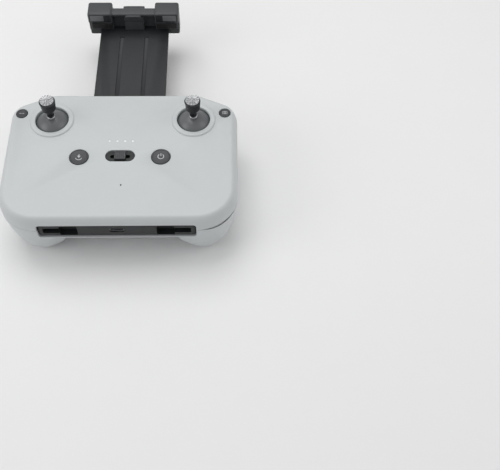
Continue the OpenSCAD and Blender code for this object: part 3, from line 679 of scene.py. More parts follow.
@dataclass
class Covers(Maker):
    """Front and rear covers of the body, with the sunk strip between them at the bottom edge."""
    half_w: float = 75.0
    half_l: float = 52.1
    seam: float = 11.0
    slab: float = 25.0
    depth: float = 45.5
    wall: float = 2.0
    edge_w: float = 4.4
    bottom_reach: float = 26.0
    shoulder: tuple[float, float] = (40.05, 8.06)
    neck: tuple[float, float] = (48.46, 2.16)
    groove: float = 0.3
    rim_h: float = 1.2
    opening: float = 10.85
    mouth: float = 0.25
    clearance: float = 0.12

    def outline(self) -> list[Point]:
        """Return the body's outline at the seam, corner by corner."""
        return mirrored([(self.half_w, -self.half_l, self.bottom_reach),
                         (self.half_w, *self.shoulder),
                         (self.neck[0], self.half_l, self.neck[1])])

    def notch(self, name: str) -> bpy.types.Object:
        """Make the blank that steps the top edge down between the shoulders."""
        half = self.datum.span("slot_bezel")[1][0]
        edge = self.half_l - 3.6
        return self.bench.plate(name, [(half + 0.8, edge, 1.8), (half + 10, self.half_l + 5, 0),
                                       (-half - 10, self.half_l + 5, 0), (-half - 0.8, edge, 1.8)],
                                -self.seam - 6, 6)

    def bezel_room(self, name: str) -> bpy.types.Object:
        """Make the blank that leaves room for the slot's frame in both covers."""
        low, high = self.datum.span("slot_bezel")
        c = self.clearance
        return self.bench.block(name, (low[0] - c, low[1] - c, low[2] - c),
                                (high[0] + c, self.half_l + 4, high[2] + 0.2))

    def trim_room(self, name: str) -> bpy.types.Object:
        """Make the blank that leaves room for the bottom strip."""
        low, high = self.datum.span("bottom_trim")
        c = self.clearance
        return self.bench.block(name, (low[0] - c, -self.half_l - 5, low[2] - c),
                                (high[0] + c, high[1] + c, high[2] + c), 1.9, 5)

    def hole(self, name: str, place: Point, radius: float, low: float = -14.0) -> bpy.types.Object:
        """Make the blank of a round hole in the face with a rounded mouth."""
        m = self.mouth
        return self.bench.turned(name, place, [
            (radius, low), (radius, -m), (radius + 0.3 * m, -0.3 * m), (radius + m, 0.001),
            (radius + m, 3)], steps=64)

    def pill_hole(self) -> bpy.types.Object:
        """Make the blank of the mode switch's opening with a rounded mouth."""
        bench = self.bench
        x, y, _ = self.datum.middle("mode_plate")
        half, radius = 9.5, 4.5
        pill = bench.pill("pill_hole", (x, y), half, radius, -12, -0.2)
        pivot = self.datum.at(x, y, 0)
        mouth = ((0.12, (half + 0.08) / half, (radius + 0.08) / radius), (0.1, 1.012, 1.025),
                 (2, 1, 1))
        with bench.editing(pill):
            bench.choose(pill, "faces", lambda f: f.normal.z > 0.9)
            for rise, wide, deep in mouth:
                bpy.ops.mesh.extrude_region_move(
                    TRANSFORM_OT_translate={"value": (0, 0, rise * MM)})
                bpy.ops.transform.resize(value=(wide, deep, 1), center_override=pivot)
        return pill

    def front(self) -> None:
        """Make the front cover."""
        bench, g = self.bench, self.groove
        cover = bench.plate("front_cover", self.outline(), -self.seam + g, -self.seam + 0.31, 14)
        steps = 13
        arc = [math.radians(90 * i / steps) for i in range(steps + 1)]
        rise = self.seam - g
        bench.band(cover, True, [(self.edge_w * (math.cos(a) - math.cos(b)),
                                  rise * (math.sin(b) - math.sin(a)) - (0.01 if i == 0 else 0))
                                 for i, (a, b) in enumerate(zip(arc, arc[1:]))])
        bench.band(cover, False, [(g, g), (self.wall - g, 0), (0.02, -self.seam + self.wall + 2.2),
                                  (0.8, -1.2), (1.4, -1.0)])
        bench.face_out(cover)
        rims, blanks, rooms = [], [], []
        opening = self.opening
        for side in SIDES:
            x, y, _ = self.datum.middle(f"{side}_frame")
            rims.append(bench.turned(f"{side}_rim", (x, y, 0), [
                (14.75, -1.2), (14.75, -0.02), (14.5, 0.05), (14.36, 0.2), (14.28, 0.45),
                (14.16, 0.72), (13.96, 0.95), (13.66, 1.11), (13.3, 1.18), (12.9, self.rim_h),
                (11.6, self.rim_h), (11.3, 1.16), (8, 1.1)], steps=112))
            blanks.append(bench.turned(f"{side}_well", (x, y, 0), [
                (12.2, -7.6), (11.9, -4.9), (11.0, -2.0), (opening, -0.8), (opening, 0.75),
                (opening + 0.1, 0.95), (opening + 0.35, 1.12), (opening + 0.7, 1.24),
                (opening + 0.7, 4)], steps=112))
        bench.fuse(cover, rims)
        for node in ("return_button", "power_button", "camera_button", "function_button"):
            x, y, _ = self.datum.middle(node)
            low, high = self.datum.span(node)
            flange = FLANGES[node]
            radius = (high[0] - low[0]) / 2 - flange + 0.2
            blanks.append(self.hole(f"{node}_hole", (x, y, 0), radius))
            if flange < 1:
                rooms.append(bench.turned(f"{node}_room", (x, y, 0),
                                          [(radius + 1.0, -14), (radius + 1.0, -self.wall)]))
        for x in LIGHT_XS:
            blanks.append(bench.turned("light_hole", (x, LIGHT_Y, 0), [(0.8, -12), (0.8, 2)],
                                       steps=24))
        blanks.append(bench.turned("pinhole", (2, -25, 0), [(0.6, -12), (0.6, -0.2), (0.8, 2)],
                                   steps=24))
        blanks.append(self.pill_hole())
        bench.cut(cover, *blanks)
        bench.cut(cover, *rooms)
        bench.cut(cover, self.notch("front_notch"))
        bench.cut(cover, self.bezel_room("front_bezel_room"))
        bench.cut(cover, self.trim_room("front_trim_room"))
        with bench.editing(cover):
            bpy.ops.mesh.select_all(action="SELECT")
            bpy.ops.mesh.remove_doubles(threshold=0.001 * MM)
        bench.soften(cover, 28)
        self.finish(cover, SHELL, "housing", "front_shell")

    def drawn_in(self, piece: bpy.types.Object, middle: tuple[float, float],
                 half: tuple[float, float], layers: Profile) -> None:
        """Draw a plate's underside down through layers that shrink about a middle.

        Args:
            piece: the plate.
            middle: x and y that the layers shrink towards.
            half: half the plate's width and length there.
            layers: pairs of depth below the face and inset.
        """
        bench = self.bench
        depth = -min(v.co.z - self.datum.face_z for v in piece.data.vertices) / MM
        inset = 0.0
        pivot = self.datum.at(*middle, 0)
        with bench.editing(piece):
            bench.choose(piece, "faces", lambda f: f.normal.z < -0.9)
            for depth_next, inset_next in layers:
                drop = (depth - depth_next) * MM
                bpy.ops.mesh.extrude_region_move(TRANSFORM_OT_translate={"value": (0, 0, drop)})
                grow = [(size - inset_next) / (size - inset) for size in half]
                bpy.ops.transform.resize(value=(*grow, 1), center_override=pivot)
                depth, inset = depth_next, inset_next

    def rear(self) -> None:
        """Make the rear cover: a slab and two grips blended into one moulding."""
        bench = self.bench
        top = -self.seam + 4
        shell = bench.plate("rear_cover", self.outline(), -self.seam - 1, top, 12)
        self.drawn_in(shell, (0, 0), (self.half_w, self.half_l), [
            (15, 0.1), (18, 0.4), (20, 1.0), (21.6, 1.9), (23, 3.3), (24, 4.9), (24.7, 6.7),
            (self.slab, 8.6)])
        grips = []
        for sign in SIDES.values():
            corners = [(30 * sign, -44.6, 6), (46 * sign, -self.half_l, 7),
                       (75 * sign, -self.half_l, 25.5), (75 * sign, 44.4, 12.4),
                       (31.6 * sign, 44.1, 12)]
            grip = bench.plate("grip", corners[::sign], -self.seam - 1, top, 10)
            self.drawn_in(grip, (52 * sign, -3.8), (23, 48.3), [
                (24, 1.4), (28, 2.2), (33, 3.2), (37, 4.7), (40, 6.2), (42.4, 8.0), (44.0, 10.0),
                (45.0, 12.2), (self.depth, 14.5)])
            grips.append(grip)
        bench.join(shell, grips)
        bench.face_out(shell)
        bench.modify(shell, "REMESH", mode="VOXEL", voxel_size=1.5 * MM)
        bench.modify(shell, "SMOOTH", factor=0.5, iterations=9)
        seam = self.datum.at(0, 0, -self.seam - 0.45)
        with bench.editing(shell):
            bpy.ops.mesh.select_all(action="SELECT")
            bpy.ops.mesh.bisect(plane_co=seam, plane_no=(0, 0, 1), clear_outer=True)
            bpy.ops.mesh.select_mode(type="EDGE")
            bench.choose(shell, "edges", lambda e: e.is_boundary)
            bpy.ops.mesh.extrude_edges_move(TRANSFORM_OT_translate={"value": (0, 0, 0.3 * MM)})
            bpy.ops.transform.resize(value=(0.9962, 0.9945, 1),
                                     center_override=self.datum.at(0, 0, 0))
        bench.modify(shell, "SOLIDIFY", thickness=self.wall * MM, offset=-1.0)
        bench.cut(shell, self.notch("rear_notch"))
        bench.cut(shell, self.bezel_room("rear_bezel_room"))
        bench.cut(shell, *self.rear_blanks())
        bench.soften(shell, 32)
        self.finish(shell, SHELL_REAR, "housing", "rear_shell")

    def rear_blanks(self) -> list[bpy.types.Object]:
        """Return the blanks of the rear cover's holes, pockets and sunk label panel."""
        bench = self.bench
        blanks = [self.trim_room("rear_trim_room")]
        x, y, z = self.datum.middle("dial_tyre")
        low, high = self.datum.span("dial_tyre")
        reach, thick = (high[0] - low[0]) / 2 + 0.5, (high[2] - low[2]) / 2
        blanks.append(bench.turned("dial_room", (x, y, z), [
            (reach, -thick - 0.3), (reach, thick + 0.3)], steps=72))
        x, _, z = self.datum.middle("shutter_button")
        low, high = self.datum.span("shutter_button")
        blanks.append(bench.turned("shutter_room", (x, low[1] - 2, z), [
            ((high[0] - low[0]) / 2 + 0.2, 0), ((high[0] - low[0]) / 2 + 0.2, 30)],
            Axis.BACK, steps=64))
        for sign in SIDES.values():
            for x, y in self.screw_places():
                blanks.append(bench.turned("screw_room", (x * sign, y, -self.slab), [
                    (2.3, -self.depth + self.slab), (2.3, -0.25), (2.2, 2.55), (1.2, 2.56),
                    (1.2, 6)], steps=32))
        blanks.append(bench.plate("label_panel", mirrored([(19, 22, 2), (19, 38, 2)]),
                                  -self.slab - 4, -self.slab + 0.35, 5))
        return blanks

    def screw_places(self) -> list[tuple[float, float]]:
        """Return the right half's screw axes, read from the CAD screws' solids."""
        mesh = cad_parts["body_screws"].data
        spots = sorted(((v.co.y - self.datum.mid_y) / MM, v.co.x / MM)
                       for v in mesh.vertices if v.co.x > 0)
        groups = [[spots[0]]]
        for before, spot in zip(spots, spots[1:]):
            if spot[0] - before[0] > 3:
                groups.append([])
            groups[-1].append(spot)
        places = []
        for group in groups:
            ys, xs = zip(*group)
            places.append(((min(xs) + max(xs)) / 2, (min(ys) + max(ys)) / 2))
        return places

    def trim(self) -> None:
        """Make the dark strip with the pockets for the unscrewed sticks and the port."""
        bench = self.bench
        low, high = self.datum.span("bottom_trim")
        strip = bench.block("bottom_strip", low, high, 1.8, 5)
        blanks = []
        for sign in SIDES.values():
            knob = across(24.5, 35.6, sign)
            stem = across(34.6, 45.8, sign)
            pocket = bench.block("knob_pocket", (knob[0], low[1] - 3, low[2] + 1.7),
                                 (knob[1], low[1] + 5.2, high[2] - 1.7), 1.2, 4)
            groove = bench.block("stem_pocket", (stem[0], low[1] - 2, -14.8),
                                 (stem[1], low[1] + 4.2, -9.6), 1.0, 4)
            blanks.append(bench.fuse(pocket, [groove]))
        port = bench.pill("port_mouth", (0, 0), 4.77, 1.93, -12, 3)
        port.data.transform(Matrix.Translation(-self.datum.at(0, 0, 0)))
        port.rotation_euler = Axis.BACK.value
        port.location = self.datum.at(0, low[1] + 8, -12.2)
        blanks.append(bench.settle("port_mouth", port))
        bench.cut(strip, *blanks)
        bench.soften(strip, 40)
        self.finish(strip, TRIM, "housing", "bottom_trim")

    def screws(self) -> None:
        """Make the six screws in the rear cover."""
        bench = self.bench
        low, _ = self.datum.span("body_screws")
        made = []
        for sign in SIDES.values():
            for x, y in self.screw_places():
                screw = bench.turned("screw", (x * sign, y, low[2]), [
                    (1.5, 0.0), (1.85, 0.12), (2.0, 0.35), (2.0, 1.4), (1.0, 1.401), (1.0, 4.2),
                    (0.92, 4.3), (1.0, 4.55), (0.92, 4.8), (1.0, 5.05), (0.92, 5.3), (1.0, 5.55),
                    (0.9, 19.0)], steps=32)
                socket = bench.turned("hex", (x * sign, y, low[2]), [(0.95, -1), (0.95, 0.8)],
                                      steps=6)
                made.append(bench.cut(screw, socket))
        screws = bench.join(made[0], made[1:])
        screws.name = "cover_screws"
        self.finish(bench.soften(screws), SCREW, "housing", "body_screws")

    def make(self) -> None:
        """Make both covers, the strip and the screws."""
        self.front()
        self.rear()
        self.trim()
        self.screws()


@dataclass
class Keys(Maker):
    """Front keys, shoulder keys, the mode switch and the charge lights."""
    dish: float = 0.22

    def key(self, node: str, body: str) -> None:
        """Make one round key with a raised ring round its dished top.

        Args:
            node: the CAD key.
            body: the body that it presses with.
        """
        flange = FLANGES[node]
        low, high = self.datum.span(node)
        x, y, _ = self.datum.middle(node)
        r, top = (high[0] - low[0]) / 2 - flange, high[2]
        key = self.bench.turned(f"{node}_cap", (x, y, 0), [
            (1.6, -4.2), (1.6, -3.6), (r + flange, -3.59), (r + flange, -2.1), (r, -2.09),
            (r, top - 0.45), (r - 0.06, top - 0.2), (r - 0.2, top - 0.06), (r - 0.42, top),
            (r - 0.72, top), (r - 0.9, top - 0.05), (r - 1.08, top - self.dish),
            (r - 1.6, top - self.dish - 0.03), (0.4, top - self.dish - 0.06)], steps=80)
        self.finish(key, KEY, body, node)
        self.legend(node, (x, y, top - self.dish - 0.04), r, body)

    def legend(self, node: str, place: Point, radius: float, body: str) -> None:
        """Inlay a key's plain symbol.

        Args:
            node: the CAD key.
            place: the middle of its dished top.
            radius: the key's radius; not used.
            body: the body that it presses with.
        """
        bench = self.bench
        x, y, z = place
        thick = 0.07
        parts = []
        if node == "power_button":
            parts.append(bench.stroke("ring", place, (2.1, 1.62), (125, 415), thick))
            parts.append(bench.block("bar", (x - 0.24, y + 0.5, z), (x + 0.24, y + 2.5, z + thick)))
        elif node == "return_button":
            parts.append(bench.stroke("sweep", (x, y - 0.3, z), (2.3, 1.85), (200, 340), thick))
            parts.append(bench.plate("arrow", [(x, y - 0.9, 0.15), (x + 1.15, y + 0.85, 0.15),
                                               (x - 1.15, y + 0.85, 0.15)], z, z + thick, 2))
            parts.append(bench.block("shaft", (x - 0.3, y + 0.8, z), (x + 0.3, y + 1.9, z + thick)))
        elif node == "camera_button":
            parts.append(bench.stroke("lens", place, (0.75, 0.45), (0, 360), thick))
            for sign in SIDES.values():
                edge = x + sign * 1.5
                parts.append(bench.block("side", (edge - 0.12, y - 0.95, z),
                                         (edge + 0.12, y + 0.95, z + thick)))
                parts.append(bench.block("edge", (x - 1.5, y + sign * 0.95 - 0.12, z),
                                         (x + 1.5, y + sign * 0.95 + 0.12, z + thick)))
        else:
            for step in (-1.15, 0, 1.15):
                parts.append(bench.turned("dot", (x + step, y, z), [(0.34, 0), (0.3, thick)],
                                          steps=20))
        mark = bench.join(parts[0], parts[1:])
        mark.name = f"{node}_symbol"
        self.finish(mark, LEGEND, body)

    def mode_switch(self) -> None:
        """Make the sunk pill and the knob that slides in it."""
        bench = self.bench
        low, high = self.datum.span("mode_plate")
        middle = (low[1] + high[1]) / 2
        top = high[2]
        floor = bench.pill("mode_floor", (0, middle), 10.85, 5.85, -3.0, -2.12)
        bench.band(floor, True, [(1.45, 0), (0.02, top - 0.12 + 2.12), (0.18, 0.12), (0.5, 0),
                                 (0.2, -0.12)])
        bench.cut(floor, bench.pill("mode_slot", (0, middle), 6.4, 1.3, -5, 4))
        bench.soften(floor, 35)
        self.finish(floor, TRIM, "housing", "mode_plate")
        low, high = self.datum.span("mode_knob")
        x = (low[0] + high[0]) / 2
        knob = bench.block("mode_thumb", (low[0], low[1], -0.86), high, 0.45, 4)
        ribs = [bench.block("groove", (x + step - 0.26, low[1] + 0.7, high[2] - 0.4),
                            (x + step + 0.26, high[1] - 0.7, high[2] + 1), 0.1, 2)
                for step in (-2.4, -1.2, 0, 1.2, 2.4)]
        bench.cut(knob, *ribs)
        bench.fuse(knob, [bench.block("stem", (x - 1.5, middle - 1, low[2]),
                                      (x + 1.5, middle + 1, -0.7))])
        self.finish(bench.soften(knob, 40), KEY, "mode_slider", "mode_knob")

    def lights(self) -> None:
        """Make the four small light guides."""
        low, high = self.datum.span("battery_lights")
        made = []
        for x in LIGHT_XS:
            made.append(self.bench.turned("light", (x, LIGHT_Y, 0), [
                (0.75, low[2]), (0.75, -0.2), (0.68, -0.1), (0.45, high[2] - 0.01),
                (0.1, high[2])], steps=28))
        pipes = self.bench.join(made[0], made[1:])
        pipes.name = "light_guides"
        self.finish(pipes, LIGHT, "housing", "battery_lights")

    def dial(self) -> None:
        """Make the ribbed dial under the left forefinger."""
        bench = self.bench
        low, high = self.datum.span("dial_tyre")
        x, y, z = self.datum.middle("dial_tyre")
        r, half = (high[0] - low[0]) / 2, (high[2] - low[2]) / 2
        tyre = bench.turned("dial_grip", (x, y, z), [
            (r - 1.4, -half), (r - 0.5, -half), (r - 0.1, -half + 0.35), (r, -half + 0.8),
            (r, half - 0.8), (r - 0.1, half - 0.35), (r - 0.5, half), (r - 1.4, half)], steps=112)
        middle = self.datum.at(x, y, z)
        with bench.editing(tyre, "VERT"):
            count = 28

            def in_groove(vertex: bmesh.types.BMVert) -> bool:
                """Say whether a vertex is one of those that the grooves are made of."""
                spot = vertex.co - middle
                turn = math.atan2(spot.y, spot.x) / math.tau * count
                return spot.xy.length > (r - 0.6) * MM and abs(turn - round(turn)) < 0.2

            bench.choose(tyre, "verts", in_groove)
            shrink = 1 - 0.42 / r
            bpy.ops.transform.resize(value=(shrink, shrink, 1), center_override=middle)
        bench.cut(tyre, bench.turned("bore", (x, y, z), [(r - 1.4, -9), (r - 1.4, 9)], steps=64))
        self.finish(bench.soften(tyre, 40), SOFT, "dial", "dial_tyre")
        hub = bench.turned("dial_hub", (x, y, z), [
            (r - 1.41, -half), (r - 1.41, half), (r - 2.2, half), (r - 2.6, half - 0.6),
            (2.9, half - 0.6), (2.6, half - 0.1), (1.9, half - 0.1)], steps=64)
        bench.cut(hub, bench.turned("bore", (x, y, z), [(1.45, -9), (1.45, 9)], steps=40))
        self.finish(bench.soften(hub), INNER, "dial", "dial_wheel")
        low, high = self.datum.span("dial_axle")
        reach = (high[2] - low[2]) / 2
        axle = bench.turned("dial_pin", (x, y, z), [
            (1.6, -reach), (2.0, -reach + 0.15), (2.0, -reach + 0.8), (1.4, -reach + 0.81),
            (1.4, reach - 0.81), (2.0, reach - 0.8), (2.0, reach - 0.15), (1.6, reach)], steps=40)
        self.finish(axle, STEEL, "housing", "dial_axle")

    def shutter(self) -> None:
        """Make the dished two-stage button under the right forefinger."""
        low, high = self.datum.span("shutter_button")
        x, _, z = self.datum.middle("shutter_button")
        r, length = (high[0] - low[0]) / 2, high[1] - low[1]
        button = self.bench.turned("shutter_cap", (x, low[1], z), [
            (1.6, 0), (1.6, 2.6), (r, 2.61), (r, length - 0.8), (r - 0.08, length - 0.4),
            (r - 0.3, length - 0.1), (r - 0.6, length), (r - 1.1, length - 0.04),
            (r - 2.0, length - 0.3), (r - 3.2, length - 0.5), (0.4, length - 0.58)],
            Axis.BACK, steps=80)
        self.finish(button, KEY, "shutter_key", "shutter_button")

    def make(self) -> None:
        """Make every key, the switch, the lights, the dial and the shutter button."""
        for node in FLANGES:
            self.key(node, node.replace("_button", "_key"))
        self.mode_switch()
        self.lights()
        self.dial()
        self.shutter()


@dataclass
class Sticks(Maker):
    """Both sticks: the round cover, the metal collar, the knurled knob and its metal tip."""
    dome_r: float = 13.0
    dome_t: float = 1.2
    stem_room: float = 2.1
    knurl_foot: float = 4.6
    knurl_rows: int = 12
    knurl_turns: int = 30
    knurl_depth: float = 0.28
    teeth: int = 12

    def dome(self, side: str) -> None:
        """Make the round cover that tilts with the stick, as a thin shell."""
        low, high = self.datum.span(f"{side}_dome")
        x, y, _ = self.datum.middle(f"{side}_dome")
        radius, thick = self.dome_r, self.dome_t
        centre = high[2] + 0.3 - radius
        skirt = math.asin(min(1.0, (high[0] - low[0]) / 2 / radius))
        lean = math.pi - skirt if low[2] < centre else skirt
        outer, inner = [], []
        crown, bands = math.asin(self.stem_room / radius), 22
        for i in range(bands + 1):
            a = crown + (lean - crown) * i / bands
            outer.append((radius * math.sin(a), min(radius * math.cos(a), radius - 0.3)))
            b = math.asin(self.stem_room / (radius - thick))
            b += (lean - 0.02 - b) * i / bands
            inner.append(((radius - thick) * math.sin(b), (radius - thick) * math.cos(b)))
        loop = inner + outer[::-1]
        cap = self.bench.turned(f"{side}_cap", (x, y, centre), loop, steps=112)
        self.bench.modify(cap, "WELD", merge_threshold=0.000001)
        with self.bench.editing(cap):
            self.bench.choose(cap, "faces", lambda f: len(f.verts) > 8)
            bpy.ops.mesh.delete(type="FACE")
            bpy.ops.mesh.select_mode(type="EDGE")
            self.bench.choose(cap, "edges", lambda e: e.is_boundary)
            bpy.ops.mesh.bridge_edge_loops()
        self.bench.face_out(cap)
        self.finish(self.bench.soften(cap), DOME, f"{side}_control", f"{side}_dome")

    def collar(self, side: str) -> None:
        """Make the bright ring at the stick's foot."""
        low, high = self.datum.span(f"{side}_collar")
        x, y, _ = self.datum.middle(f"{side}_collar")
        r, tall = (high[0] - low[0]) / 2, high[2] - low[2]
        ring = self.bench.turned(f"{side}_ring", (x, y, low[2]), [
            (r - 0.15, 0), (r, 0.12), (r, tall * 0.55), (r - 0.12, tall * 0.8),
            (r - 0.4, tall * 0.97), (r - 0.7, tall), (2.2, tall)], steps=72)
        self.bench.cut(ring, self.bench.turned("bore", (x, y, low[2]), [(2.05, -2), (2.05, 4)],
                                               steps=48))
        self.finish(self.bench.soften(ring), COLLAR, f"{side}_control", f"{side}_collar")

    def knob(self, side: str) -> None:
        """Make the stem and the knob, with a diamond knurl."""
        bench = self.bench
        low, high = self.datum.span(f"{side}_stick")
        x, y, _ = self.datum.middle(f"{side}_stick")
        _, foot = self.datum.span(f"{side}_collar")
        base = foot[2] + 0.02
        top = high[2]
        wide = (high[0] - low[0]) / 2
        steps = self.knurl_turns * 2
        knurl_low, knurl_high = top - 6.8, top - 0.9
        profile = [(1.2, low[2]), (1.2, base), (2.2, base + 0.01), (2.4, base + 0.2),
                   (2.4, base + 0.8), (2.2, base + 1.0), (1.65, base + 1.05), (1.65, top - 8.6),
                   (2.0, top - 8.1), (3.0, top - 7.6), (4.0, top - 7.2), (4.5, knurl_low - 0.2)]
        rows = self.knurl_rows
        for i in range(rows + 1):
            t = i / rows
            radius = self.knurl_foot + (wide - 0.12 - self.knurl_foot) * t ** 0.9
            profile.append((radius, knurl_low + (knurl_high - knurl_low) * t))
        profile += [(wide - 0.02, top - 0.75), (wide - 0.02, top - 0.35), (wide - 0.2, top - 0.1),
                    (wide - 0.5, top)]
        knob = bench.turned(f"{side}_knob", (x, y, 0), profile, steps=steps)
        middle = self.datum.at(x, y, 0)
        pitch = (knurl_high - knurl_low) / rows
        shrink = 1 - self.knurl_depth / 4.8
        with bench.editing(knob, "VERT"):

            def in_valley(vertex: bmesh.types.BMVert) -> bool:
                """Say whether a vertex lies in a valley of the knurl's diamonds."""
                spot = (vertex.co - middle) / MM
                row = (spot.z - knurl_low) / pitch
                if not 0.5 < row < rows - 0.5 or spot.xy.length < 3:
                    return False
                turn = math.atan2(spot.y, spot.x) / math.tau * steps
                return (round(row) + round(turn)) % 2 == 0

            bench.choose(knob, "verts", in_valley)
            bpy.ops.transform.resize(value=(shrink, shrink, 1), center_override=middle)
        bench.soften(knob, 22)
        self.finish(knob, KNOB, f"{side}_lever", f"{side}_stick")

    def tip(self, side: str) -> None:
        """Make the metal tip with a ring of teeth round a peak."""
        bench = self.bench
        low, high = self.datum.span(f"{side}_tip")
        x, y, _ = self.datum.middle(f"{side}_tip")
        r, tall = (high[0] - low[0]) / 2, high[2] - low[2]
        steps = self.teeth * 4
        tip = bench.turned(f"{side}_crown", (x, y, low[2]), [
            (r - 0.3, 0), (r - 0.3, tall * 0.25), (r, tall * 0.3), (r, tall * 0.42),
            (r - 0.15, tall * 0.5), (r - 0.55, tall * 0.5), (r * 0.62, tall * 0.44),
            (r * 0.34, tall * 0.4), (r * 0.26, tall * 0.62), (r * 0.08, tall)], steps=steps)
        middle = self.datum.at(x, y, low[2])
        with bench.editing(tip, "VERT"):
            for inner, rise in ((True, 0.30), (False, 0.42)):

                def on_tooth(vertex: bmesh.types.BMVert) -> bool:
                    """Say whether a vertex is on the back of a tooth."""
                    spot = (vertex.co - middle) / MM
                    turn = math.atan2(spot.y, spot.x) / math.tau * steps
                    ring = r * 0.62 if inner else r - 0.55
                    return (abs(spot.xy.length - ring) < 0.1 and round(turn) % 4 < 2
                            and spot.z > tall * 0.35)

                bench.choose(tip, "verts", on_tooth)
                bpy.ops.transform.translate(value=(0, 0, rise * tall * MM))
        bench.soften(tip, 20)
        self.finish(tip, TIP, f"{side}_lever", f"{side}_tip")

    def make(self) -> None:
        """Make both sticks."""
        for side in SIDES:
            self.dome(side)
            self.collar(side)
            self.knob(side)
            self.tip(side)


